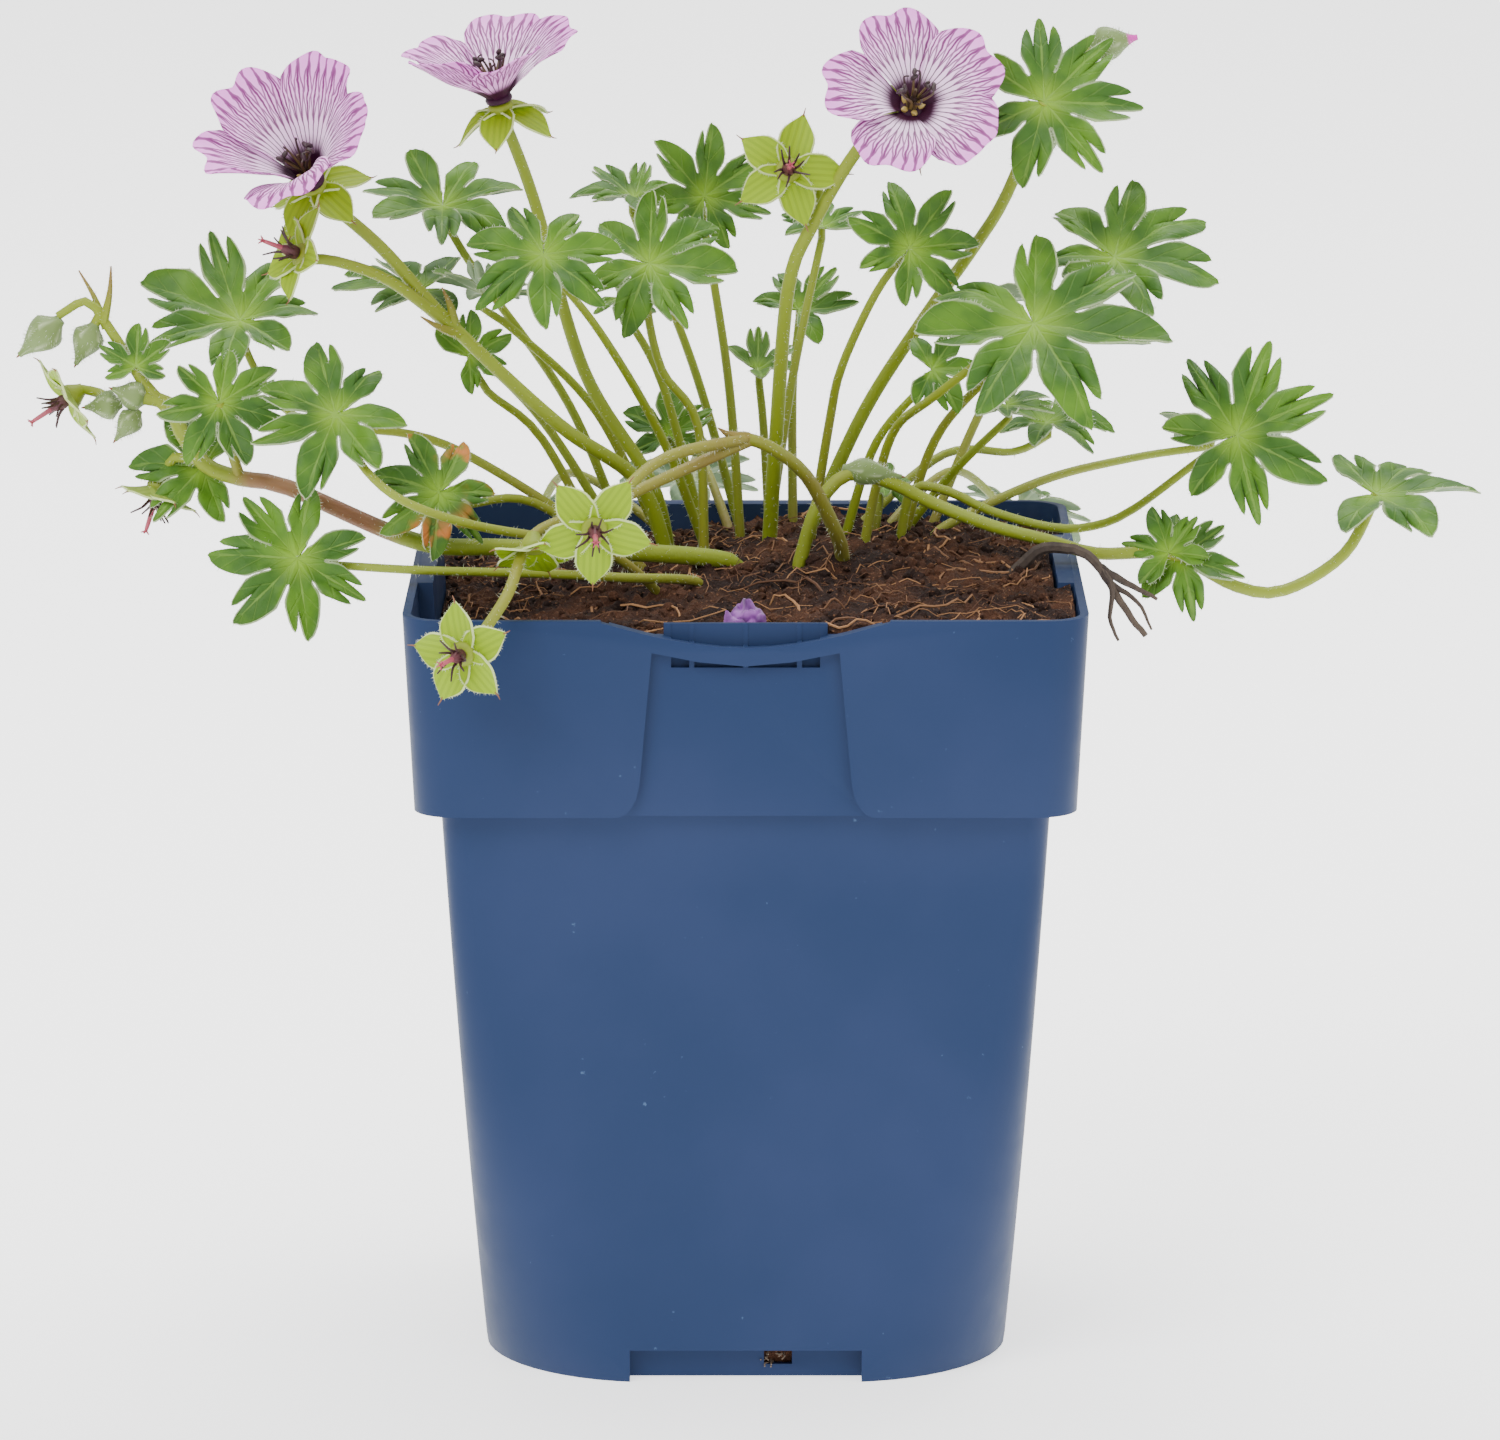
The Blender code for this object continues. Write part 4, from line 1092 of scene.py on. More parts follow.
    def mesh(self, name: str) -> bpy.types.Mesh:
        """The draft as a mesh in metres.

        Args:
            name: The mesh's name.

        Returns:
            The mesh, with its shade and rim values and its flat coordinates.
        """
        made = bpy.data.meshes.new(name)
        made.from_pydata([(x * MM, y * MM, z * MM) for x, y, z in self.points], [], self.faces)
        values = np.array(self.values, np.float32)
        for column, label in enumerate(("shade", "rim")):
            layer = made.attributes.new(label, "FLOAT", "POINT")
            layer.data.foreach_set("value", np.ascontiguousarray(values[:, column]))
        corners = np.empty(len(made.loops), np.int32)
        made.loops.foreach_get("vertex_index", corners)
        layer = made.uv_layers.new(name="flat")
        layer.data.foreach_set("uv", np.ascontiguousarray(values[corners, 2:4]).ravel())
        return made


def make_piece(name: str, draft: Draft, finishes: tuple, nodes: tuple = ()) -> bpy.types.Object:
    """Turns a draft into a piece that rides with the pot.

    Args:
        name: The piece's name.
        draft: Its points and faces.
        finishes: The finishes that the draft's looks point to.
        nodes: The solids that it stands for.

    Returns:
        The piece.
    """
    mesh = draft.mesh(name)
    used = sorted(set(draft.looks))
    for look in used:
        mesh.materials.append(finishes[look].material())
    places = {look: index for index, look in enumerate(used)}
    mesh.polygons.foreach_set("material_index", [places[look] for look in draft.looks])
    return add_piece(name, mesh, nodes, SHARP_GROWTH)


def add_piece(name: str, mesh: bpy.types.Mesh, nodes: tuple, sharp: float) -> bpy.types.Object:
    """Places a mesh as a piece that rides with the pot.

    Args:
        name: The piece's name.
        mesh: Its mesh, with its materials.
        nodes: The solids that it stands for.
        sharp: The angle from which an edge is drawn sharp.

    Returns:
        The piece.
    """
    mesh.shade_smooth()
    mesh.set_sharp_from_angle(angle=math.radians(sharp))
    made = new_object(name, mesh)
    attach(made, BODY)
    if nodes:
        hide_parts(*nodes)
    LOG.info("%s: %d faces", name, len(mesh.polygons))
    return made


# ---------------------------------------------------------------- pot


@dataclass
class Pot:
    """The square nursery pot: body, collar with recessed panels, front dip, tongue, feet and drains."""

    height: float = 129.4
    rim_half: float = 55.0
    collar_foot: float = 97.0
    collar_foot_half: float = 53.4
    body_foot_half: float = 43.3
    body_taper: float = 0.060
    base_corner: float = 28.4
    top_corner: float = 3.7
    collar_corner: float = 7.0
    wall: float = 1.3
    panel_top_width: float = 30.0
    panel_width: float = 34.0
    panel_foot: float = 41.0
    panel_top: float = 124.2
    panel_depth: float = 1.6
    lip_wall: float = 1.4
    slot_width: float = 1.3
    tongue_back: float = 3.9
    tongue_width: float = 24.6
    tongue_top: float = 128.5
    slot_floor: float = 121.5
    rib: float = 0.8
    notch_width: float = 38.0
    notch_height: float = 5.5
    notch_depth: float = 4.0
    drain_radius: float = 3.5
    drain_place: float = 26.0
    corner_steps: int = 14
    edge: float = 0.32
    edge_angle: float = 38.0
    levels: tuple = (0, 6, 12, 18, 24, 32, 40, 50, 60, 72, 84)

    def body_half(self, z: float) -> float:
        """Half the body's width at a height."""
        return self.body_foot_half + self.body_taper * z

    def body_corner(self, z: float) -> float:
        """The body's corner radius at a height."""
        share = min(1.0, max(0.0, 1 - z / self.collar_foot))
        return self.top_corner + (self.base_corner - self.top_corner) * share**2.2

    def collar_half(self, z: float) -> float:
        """Half the collar's width at a height."""
        rise = (z - self.collar_foot) / (self.height - self.collar_foot)
        return self.collar_foot_half + (self.rim_half - self.collar_foot_half) * rise

    @staticmethod
    def cleaned(mesh: bpy.types.Mesh) -> bpy.types.Object:
        """A workshop object with the mesh, whose doubled points are merged and whose faces look out."""
        work = bmesh.new()
        work.from_mesh(mesh)
        bmesh.ops.remove_doubles(work, verts=work.verts, dist=1e-6)
        bmesh.ops.recalc_face_normals(work, faces=work.faces)
        work.to_mesh(mesh)
        work.free()
        return new_object("workshop", mesh)

    def solid(self, draft: Draft) -> bpy.types.Object:
        """A workshop object with the draft's points and faces."""
        mesh = bpy.data.meshes.new("workshop")
        mesh.from_pydata([Vector(point) * MM for point in draft.points], [], draft.faces)
        return self.cleaned(mesh)

    def baked(self, item: bpy.types.Object) -> bpy.types.Object:
        """The object with its modifiers applied; the one it came from is removed."""
        bpy.context.view_layer.update()
        seen = item.evaluated_get(bpy.context.evaluated_depsgraph_get())
        made = self.cleaned(bpy.data.meshes.new_from_object(seen))
        bpy.data.objects.remove(item)
        return made

    def combined(self, base: bpy.types.Object, others: list, operation: str) -> bpy.types.Object:
        """The base joined with, or cut by, the others, which are removed.

        Args:
            base: The first solid.
            others: The other solids.
            operation: The Boolean operation.

        Returns:
            The resulting solid.
        """
        group = bpy.data.collections.new("operands")
        bpy.context.scene.collection.children.link(group)
        for other in others:
            group.objects.link(other)
        step = base.modifiers.new("combine", "BOOLEAN")
        step.operation = operation
        step.operand_type = "COLLECTION"
        step.collection = group
        step.solver = "EXACT"
        made = self.baked(base)
        for other in others:
            bpy.data.objects.remove(other)
        bpy.data.collections.remove(group)
        return made

    def ring(self, half: float, radius: float, z: float) -> list:
        """A square with round corners at one height, anticlockwise from above.

        Args:
            half: Half its width.
            radius: Its corner radius.
            z: Its height.

        Returns:
            Its points.
        """
        made = []
        for corner in range(4):
            sign_x = 1 if corner in (0, 3) else -1
            sign_y = 1 if corner in (0, 1) else -1
            for step in range(self.corner_steps + 1):
                angle = math.radians(90 * corner + 90 * step / self.corner_steps)
                x = sign_x * (half - radius) + radius * math.cos(angle)
                y = sign_y * (half - radius) + radius * math.sin(angle)
                made.append((x, y, z))
        return made

    def loft(self, rings: list) -> bpy.types.Object:
        """A closed solid through rings of equal count, from the lowest up."""
        made = Draft()
        rings = [[made.point(place) for place in ring] for ring in rings]
        made.face(reversed(rings[0]), Look.PLAIN)
        made.face(rings[-1], Look.PLAIN)
        made.grid(rings, Look.PLAIN, closed=True, turned=True)
        return self.solid(made)

    def prism(self, line: list, front: float, back: float, turn: int = 0) -> bpy.types.Object:
        """A solid with the given outline across X and Z.

        Args:
            line: The outline's points.
            front: The depth of its front face.
            back: The depth of its back face.
            turn: How many quarter turns it is moved round the pot.

        Returns:
            The solid.
        """
        draft = Draft()
        ends = [[draft.point((x, depth, z)) for x, z in line] for depth in (front, back)]
        draft.face(ends[0], Look.PLAIN)
        draft.face(reversed(ends[1]), Look.PLAIN)
        draft.grid(ends, Look.PLAIN, closed=True)
        made = self.solid(draft)
        made.data.transform(Matrix.Rotation(math.radians(90 * turn), 4, "Z"))
        return made

    def block(self, low: tuple, high: tuple, turn: int = 0) -> bpy.types.Object:
        """A block between two corners, moved round the pot by quarter turns."""
        line = [(low[0], low[2]), (high[0], low[2]), (high[0], high[2]), (low[0], high[2])]
        return self.prism(line, low[1], high[1], turn)

    def four_sides(self, low: tuple, high: tuple) -> list:
        """A block at the front and its copies on the other sides."""
        return [self.block(low, high, turn) for turn in range(4)]

    def collar_loft(self, inset: float, low: float, high: float) -> bpy.types.Object:
        """The collar's outline drawn in by an inset, as a solid between two heights."""
        corner = max(self.collar_corner - inset, 2.0)
        return self.loft([self.ring(self.collar_half(z) - inset, corner, z) for z in (low, high)])

    def body_loft(self, inset: float, heights: tuple) -> bpy.types.Object:
        """The body's outline drawn in by an inset, as a solid through the given heights."""
        rings = []
        for z in heights:
            corner = max(self.body_corner(z) - inset, 1.5)
            rings.append(self.ring(self.body_half(z) - inset, corner, z))
        return self.loft(rings)

    def cavity(self) -> bpy.types.Object:
        """The pot's inside as a solid."""
        top = self.height + 4
        body = self.body_loft(self.wall, (self.wall, *self.levels[1:], top))
        ledge = self.collar_foot + self.lip_wall
        corners = self.collar_loft(self.lip_wall, ledge, top)
        reach = self.panel_foot / 2 + self.wall
        openings = self.four_sides((-reach, -60, 90), (reach, -40, top + 5))
        corners = self.combined(corners, openings, "DIFFERENCE")
        inner = self.collar_loft(self.tongue_back, ledge, top)
        inside = self.combined(body, [inner, corners], "UNION")
        reach = self.notch_width / 2 + self.wall
        depth = self.body_foot_half - self.notch_depth - self.wall
        notches = self.four_sides((-reach, -60, -5), (reach, -depth, self.notch_height + self.wall))
        return self.combined(inside, notches, "DIFFERENCE")

    def panels(self) -> list:
        """The openings in the collar's outer skin, one a side."""
        half, foot = self.panel_top_width / 2, self.panel_width / 2
        skin = [(-self.panel_foot / 2, 95), (-self.panel_foot / 2, self.collar_foot)]
        skin += [(-foot - 2.3, 97.5), (-foot - 1.3, 98.6), (-foot - 0.5, 100.2), (-foot, 102.5)]
        line = [*skin, (-half, self.panel_top), (-half / 2, self.panel_top - 1.5), (0, self.panel_top - 2.2)]
        line += [(half / 2, self.panel_top - 1.5), (half, self.panel_top)]
        line += [(-x, z) for x, z in reversed(skin)]
        return [self.prism(line, -60, -40, turn) for turn in range(4)]

    def rim_cutters(self) -> list:
        """The dip of the front rim, the tongue's own edges and the slots behind the lips."""
        top = self.height + 2
        dip = [(-24, top), (-23, self.height - 0.3), (-16, 127.2), (-12, 126.3), (-8, 125.6), (-4, 125.15)]
        line = [*dip, (0, 125.0), *[(-x, z) for x, z in reversed(dip)]]
        half = self.tongue_width / 2
        front = self.lip_wall - self.collar_half(self.slot_floor)
        back = front + self.slot_width
        made = [self.prism(line, -58, back - 0.1)]
        for low, high in ((-23, -half - self.rib), (half + self.rib, 23)):
            made.append(self.block((low, back - 0.4, 126.6), (high, -46, top)))
        reach = half + self.rib + 0.1
        made.append(self.block((-reach, back - 0.3, self.tongue_top), (reach, -46, top)))
        edges = (-half, -8.6, 0, 8.6, half)
        for low, high in zip(edges, edges[1:]):
            low, high = low + self.rib / 2, high - self.rib / 2
            made.append(self.block((low, front, self.slot_floor), (high, back, top + 2)))
        return made

    def base_cutters(self) -> list:
        """The notches between the feet, the drains in the floor and those in the notches' walls."""
        depth = self.body_foot_half - self.notch_depth
        reach = self.notch_width / 2
        made = self.four_sides((-reach, -60, -5), (reach, -depth, self.notch_height))
        made += self.four_sides((3.0, -depth - 3, 2.0), (7.6, -depth + 5, self.notch_height - 0.4))
        for turn in range(4):
            angle = math.radians(45 + 90 * turn)
            x, y = math.cos(angle) * self.drain_place, math.sin(angle) * self.drain_place
            ways = [2 * math.pi * step / DRAIN_STEPS for step in range(DRAIN_STEPS)]
            radius = self.drain_radius
            flat = [(x + radius * math.cos(way), y + radius * math.sin(way)) for way in ways]
            made.append(self.loft([[(*place, z) for place in flat] for z in (-5, 5)]))
        return made

    def build(self) -> bpy.types.Object:
        """Carves the pot and gives it its plastic."""
        body = self.body_loft(0, (*self.levels, self.height))
        skin = self.collar_loft(0, self.collar_foot, self.height)
        skin = self.combined(skin, self.panels(), "DIFFERENCE")
        collar = self.collar_loft(self.panel_depth, self.collar_foot, self.height - 0.2)
        pot = self.combined(body, [collar, skin], "UNION")
        pot = self.combined(pot, [self.cavity()], "DIFFERENCE")
        pot = self.combined(pot, self.base_cutters() + self.rim_cutters(), "DIFFERENCE")
        pot.data.materials.clear()
        for finish in (POT_PLASTIC, POT_EDGE):
            pot.data.materials.append(finish.material())
        # The bevel faces take the paler edge material: painted highlight along every edge, with wear
        step = pot.modifiers.new("edge", "BEVEL")
        step.material = 1
        step.width = self.edge * MM
        step.segments = 2
        step.limit_method = "ANGLE"
        step.angle_limit = math.radians(self.edge_angle)
        pot = self.baked(pot)
        mesh = pot.data
        bpy.data.objects.remove(pot)
        return add_piece("nursery_pot", mesh, ("pot",), SHARP_POT)


# ---------------------------------------------------------------- peat


def soil_height(x: float, y: float) -> float:
    """The peat's height: heaped at the crown and the right, sunk at the left and behind.

    Args:
        x: The place across the pot.
        y: The place along it.

    Returns:
        The height, as in the solid.
    """
    heap = 2.6 * math.exp(-(((x - 4) / 26) ** 2) - ((y - 20) / 24) ** 2)
    slope = 2.8 * math.tanh(x / 28)
    sunk = 3.2 * math.exp(-(((x + 52) / 15) ** 2) - ((y + 5) / 55) ** 2)
    sunk += 3.4 * math.exp(-(((x - 46) / 20) ** 2) - ((y - 52) / 15) ** 2)
    crumbs = 0.7 * noise.noise(Vector((x, y, 3)) * 0.11) + 0.5 * noise.noise(Vector((x, y, 9)) * 0.3)
    return SOIL_LEVEL + heap + slope - sunk + crumbs


@dataclass
class Peat:
    """The peat: a crumbly bed with loose crumbs, coir fibres and stray roots."""

    half: float = 53.0
    panel_half: float = 50.4
    panel_reach: float = 22.0
    corner: float = 5.6
    count: int = 190
    skirt: float = 100.0
    crumbs: int = 1300
    crumb_reach: float = 52.0
    fibres: int = 260
    fibre_reach: float = 50.0
    fibre_steps: int = 8
    rootlets: int = 9
    rootlet_steps: int = 5
    pot: Pot = field(default_factory=Pot)

    def inside(self, x: float, y: float) -> tuple:
        """The nearest place inside the pot's wall."""
        x = max(-self.half, min(self.half, x))
        y = max(-self.half, min(self.half, y))
        if abs(x) < self.panel_reach:
            y = max(-self.panel_half, min(self.panel_half, y))
        if abs(y) < self.panel_reach:
            x = max(-self.panel_half, min(self.panel_half, x))
        round_from = self.half - self.corner
        if abs(x) > round_from and abs(y) > round_from:
            off = Vector((abs(x) - round_from, abs(y) - round_from))
            if off.length > self.corner:
                off = off.normalized() * self.corner
            x, y = math.copysign(round_from + off.x, x), math.copysign(round_from + off.y, y)
        return x, y

    @staticmethod
    def surface(x: float, y: float) -> float:
        """The bed's height with its crumbs."""
        place = Vector((x, y, 5))
        rough = 1.3 * noise.noise(place * 0.30) + 1.0 * noise.noise(place * 0.80)
        rough += 0.5 * noise.noise(place * 1.9)
        return soil_height(x, y) + rough

    def bed(self) -> Draft:
        """The bed's top, its sides and the closed mass below them."""
        made = Draft()
        rows = []
        for row in range(self.count):
            line = []
            for column in range(self.count):
                x = -self.half + 2 * self.half * column / (self.count - 1)
                y = -self.half + 2 * self.half * row / (self.count - 1)
                x, y = self.inside(x, y)
                line.append(made.point((x, y, self.surface(x, y))))
            rows.append(line)
        made.grid(rows, Look.PLAIN, turned=True)
        edge = rows[0] + [line[-1] for line in rows[1:]]
        edge += list(reversed(rows[-1][:-1])) + [line[0] for line in reversed(rows[1:-1])]
        foot = [made.point((*made.points[index][:2], self.skirt)) for index in edge]
        made.grid([edge, foot], Look.PLAIN, closed=True)
        made.face(reversed(foot), Look.PLAIN)
        rings = []
        inset = self.pot.wall + 0.35
        for z in (self.pot.wall + 0.4, 20, 45, 70, self.skirt + 3):
            corner = max(self.pot.body_corner(z) - inset, 1.5)
            half = self.pot.body_half(z) - inset - (4.0 if z < 20 else 0.0)
            rings.append([made.point(place) for place in self.pot.ring(half, corner, z)])
        made.grid(rings, Look.PLAIN, closed=True, turned=True)
        made.face(reversed(rings[0]), Look.PLAIN)
        made.face(rings[-1], Look.PLAIN)
        return made

    def scatter(self, made: Draft, draw: random.Random) -> None:
        """Adds loose crumbs to the bed.

        Args:
            made: The bed's draft.
            draw: The source of chance.
        """
        for _ in range(self.crumbs):
            reach = self.crumb_reach
            x, y = self.inside(draw.uniform(-reach, reach), draw.uniform(-reach, reach))
            x, y = x * 0.985, y * 0.985
            size = draw.uniform(0.5, 1.9) ** 1.3
            axis = chance_way(draw)
            profile = [(share * size, radius * size * draw.uniform(0.75, 1.25)) for share, radius in CRUMB]
            start = Vector((x, y, self.surface(x, y) + 0.1)) - axis.normalized() * size * 0.5
            made.lathe(start, axis, profile, Look.PLAIN, 6)

    def strands(self, draw: random.Random) -> Draft:
        """Coir fibres that lie and loop on the bed.

        Args:
            draw: The source of chance.

        Returns:
            The fibres.
        """
        made = Draft()
        reach, steps = self.fibre_reach, self.fibre_steps
        for _ in range(self.fibres):
            x, y = draw.uniform(-reach, reach), draw.uniform(-reach, reach)
            way, turn = draw.uniform(0, 2 * math.pi), draw.uniform(-0.16, 0.16)
            length = draw.uniform(4, 20) if draw.random() < 0.93 else draw.uniform(20, 34)
            arch = draw.uniform(0.1, 1.6) if draw.random() < 0.4 else 0.1
            path = []
            for step in range(steps + 1):
                share = step / steps
                px, py = self.inside(x, y)
                lift = 0.25 + arch * math.sin(math.pi * share) - (0.6 if step in (0, steps) else 0.0)
                path.append(Vector((px * 0.99, py * 0.99, self.surface(px, py) + lift)))
                way += turn * length / steps + draw.uniform(-0.15, 0.15)
                x += math.cos(way) * length / steps
                y += math.sin(way) * length / steps
            radius = draw.choice((0.07, 0.09, 0.11, 0.15, 0.26))
            shade = draw.random() ** 1.3
            made.tube(path, (radius, radius * 0.6), Look.PLAIN, 5, (shade, shade))
        return made

    def roots(self, draw: random.Random) -> Draft:
        """The stray roots over the right rim and the rootlets in the front drain.

        Args:
            draw: The source of chance.

        Returns:
            The roots.
        """
        made = Draft()
        for points, radii in STRAY_ROOTS:
            path = smooth_path(points, 1.2)
            for place in path:
                sway = [0.22 * noise.noise(place * 0.9 + Vector((layer, 0, 0))) for layer in (3, 7, 11)]
                place += Vector(sway)
            made.tube(path, radii, Look.PLAIN, 7, (0.05, 0.25))
        for _ in range(self.rootlets):
            x, z = draw.uniform(3.4, 7.2), draw.uniform(2.3, 4.6)
            path = [Vector((x, -37.0, z))]
            for _ in range(self.rootlet_steps):
                step = Vector((draw.uniform(-0.7, 0.7), -0.55, draw.uniform(-0.5, 0.4)))
                place = path[-1] + step
                path.append(Vector((place.x, place.y, max(1.5, place.z))))
            made.tube(path, (0.22, 0.12), Look.PLAIN, 5, (0.4, 0.7))
        return made

    def build(self) -> None:
        """Builds the bed, its fibres and its roots."""
        draw = random.Random(11)
        bed = self.bed()
        self.scatter(bed, draw)
        make_piece("peat_bed", bed, (PEAT,), ("peat",))
        make_piece("coir_fibres", self.strands(draw), (FIBRE,))
        make_piece("stray_roots", self.roots(draw), (ROOT,))


CRUMB = ((0.0, 0.22), (0.25, 0.50), (0.6, 0.52), (0.9, 0.30), (1.0, 0.08))

STRAY_ROOTS = [
    (
        [
            (44, -7, 128), (48, -7, 131.8), (52, -7, 132.5), (56.5, -8, 131.4),
            (60, -9, 127), (63, -9, 122), (66, -9, 118),
        ],
        (1.15, 0.5),
    ),
    ([(58.5, -8.6, 129.3), (61, -8, 127.8), (64, -7, 126), (68, -8, 124)], (0.8, 0.3)),
    ([(58, -8.4, 130), (60.5, -10, 126), (60, -10.5, 121.5), (61.5, -10, 117.5)], (0.6, 0.25)),
    ([(60, -8.8, 127), (64.5, -10, 124), (67, -11, 119.5)], (0.55, 0.2)),
]


# ---------------------------------------------------------------- leaves


class Teeth(Enum):
    """How a lobe's tip is cut."""

    ROUND = 0
    LEFT = 1
    RIGHT = 2
    THREE = 3


# Places from a lobe's middle to its side, and how far its rim reaches there with and without a side tooth
SIDE_PLACES = (0.0, 0.12, 0.22, 0.31, 0.36, 0.42, 0.52, 0.64, 0.76, 0.88, 1.0)
TOOTHED_REACH = (1, 0.975, 0.90, 0.75, 0.62, 0.70, 0.82, 0.87, 0.83, 0.73, 0.55)
ROUND_REACH = (1, 0.975, 0.965, 0.955, 0.945, 0.93, 0.90, 0.86, 0.80, 0.72, 0.58)

# How far out the lobes part, as shares of the blade's length, in the middle and at the clefts
LOBE_START = 0.33
CLEFT_START = 0.29
END_START = 0.16


def blade_frame(tilt: float, toward: float, spin: float) -> tuple:
    """A blade's own axes.

    Args:
        tilt: Its tilt from level, in degrees.
        toward: The direction that it tilts towards.
        spin: The turn of its middle lobe from straight downhill.

    Returns:
        The directions along the middle lobe, across it, and out of the upper face.
    """
    tilt, toward, spin = math.radians(tilt), math.radians(toward), math.radians(spin)
    level = Vector((math.cos(toward), math.sin(toward), 0))
    normal = level * math.sin(tilt) + Vector((0, 0, math.cos(tilt)))
    downhill = level * math.cos(tilt) - Vector((0, 0, math.sin(tilt)))
    along = Matrix.Rotation(spin, 3, normal) @ downhill
    return along, normal.cross(along), normal


@dataclass(frozen=True)
class Blade:
    """A cut leaf blade: toothed lobes round the stalk, parted by deep clefts."""

    seed: int
    base: tuple
    tilt: float
    toward: float
    spin: float
    length: float
    lobes: int
    rise: float
    curl: float
    full_lobes: int = 7
    inner: tuple = (0.35, 0.62, 0.84, 1.0)
    rows: tuple = (0.07, 0.16, 0.26, 0.37, 0.48, 0.59, 0.70, 0.80, 0.89, 0.96, 1.0)

    @property
    def columns(self) -> tuple:
        """The places of the points across a lobe, closest where its teeth part."""
        return (*[-share for share in reversed(SIDE_PLACES[1:])], *SIDE_PLACES)

    def solid_choices(self) -> int:
        """How many outlines the solids choose from, so that both draw the same chances."""
        if self.lobes != self.full_lobes or self.length <= 14.6:
            return 1
        return 3 if self.length > 16 else 2

    @staticmethod
    def tip(share: float, teeth: Teeth) -> float:
        """How far a lobe reaches at a place across it.

        Args:
            share: The place across the lobe, from -1 to 1.
            teeth: How its tip is cut.

        Returns:
            The reach, as a share of the middle's.
        """
        side = Teeth.LEFT if share < 0 else Teeth.RIGHT
        toothed = teeth is Teeth.THREE or (teeth is side and share != 0)
        return float(np.interp(abs(share), SIDE_PLACES, TOOTHED_REACH if toothed else ROUND_REACH))

    def sheet(self) -> Draft:
        """The blade as an open sheet, its faces wound so that they look out of its upper face."""
        draw, shape = random.Random(self.seed), random.Random(900 + self.seed)
        along, across, normal = blade_frame(self.tilt, self.toward, self.spin)
        spread, widest = (300.0, 0.225) if self.lobes == self.full_lobes else (230.0, 0.25)
        step = spread / (self.lobes - 1)
        rise = math.tan(math.radians(self.rise))
        size, base = self.length, Vector(self.base)
        limit = math.tan(math.radians(step / 2)) * 0.96
        made = Draft()

        def place(u: float, v: float, axis: float, side: float, share: float, lean: float) -> Vector:
            """A point of the blade from its place along and across a lobe."""
            radius = math.hypot(u, v)
            angle = math.radians(axis) + math.atan2(v, u)
            part = radius / size
            height = radius * rise - self.curl * size * part**3 + lean * part
            height += 0.10 * size * abs(side) ** 1.4 * min(1.0, part * 1.6)
            spot = Vector((radius * math.cos(angle), radius * math.sin(angle), 4.0 * self.seed))
            waves = 0.030 * noise.noise(spot * 0.23) + 0.012 * noise.noise(spot * 0.7)
            height += size * waves * min(1.0, part * 2)
            fine = Vector(base) + along * (radius * math.cos(angle)) + across * (radius * math.sin(angle))
            return fine + normal * height

        centre = made.point(base, 0.0, 0.0, (0.0, 0.0))
        clefts = [-spread / 2 - step * 0.52]
        clefts += [-spread / 2 + step * (index + 0.5) for index in range(self.lobes - 1)]
        clefts += [spread / 2 + step * 0.52]
        depths = [END_START, *[CLEFT_START] * (self.lobes - 1), END_START]
        rays = []
        for angle, depth in zip(clefts, depths):
            ray = []
            for share in self.inner:
                radius = size * depth * share
                half = math.radians(step / 2)
                flat = (radius * math.sin(half) / FLAT_SCALE, radius * math.cos(half) / FLAT_SCALE)
                spot = place(radius, 0.0, angle, 1.0, 0, 0)
                ray.append(made.point(spot, radius / size, ease(share * 6 - 5), flat))
            rays.append(ray)
        for index in range(self.lobes):
            offset = abs(index - (self.lobes - 1) / 2) / ((self.lobes - 1) / 2)
            reach = size * (1 - 0.22 * offset**2) * draw.uniform(0.93, 1.05)
            axis = -spread / 2 + step * index + draw.uniform(-3, 3)
            draw.choice(range(self.solid_choices()))
            lean = draw.uniform(-0.05, 0.06) * size
            teeth = shape.choice((Teeth.THREE if offset < 0.8 else Teeth.ROUND, Teeth.LEFT, Teeth.RIGHT))
            droop, width = shape.uniform(0.0, 0.16) * size, widest * shape.uniform(0.88, 1.08)
            pitch, roll = shape.uniform(-0.20, 0.26), shape.uniform(-0.45, 0.45)
            sides = clefts[index : index + 2], depths[index : index + 2]
            inner = self.inner_rows(made, place, sides, axis)
            for line, left, right in zip(inner, rays[index], rays[index + 1]):
                line[0], line[-1] = left, right
            for left, right in zip(inner[0], inner[0][1:]):
                made.face((centre, left, right), Look.LEAF)
            outer = inner[-1]
            starts = [self.wedge(share, 1.0, sides, axis) for share in self.columns]
            lines = [*inner]
            for part in self.rows:
                line = []
                swell = width * (0.72 + 0.28 * ease(part / 0.75))
                for (u0, v0), share in zip(starts, self.columns):
                    u = u0 + (self.tip(share, teeth) * reach - u0) * part
                    settle = ease(part * 2.4)
                    v = v0 * (1 - settle) + share * swell * reach * settle
                    v = math.copysign(min(abs(v), u * limit), v)
                    rim = max(abs(share), ease((part - 0.90) / 0.10)) if part < 1 else 1.0
                    flat = (abs(v) / FLAT_SCALE, u / FLAT_SCALE)
                    lift = lean * part - droop * ease((part - 0.35) / 0.65) + (pitch * u + roll * v) * part
                    spot = place(u, v, axis, share, part, lift)
                    line.append(made.point(spot, math.hypot(u, v) / size, rim, flat))
                lines.append(line)
            made.grid(lines, Look.LEAF)
        return made

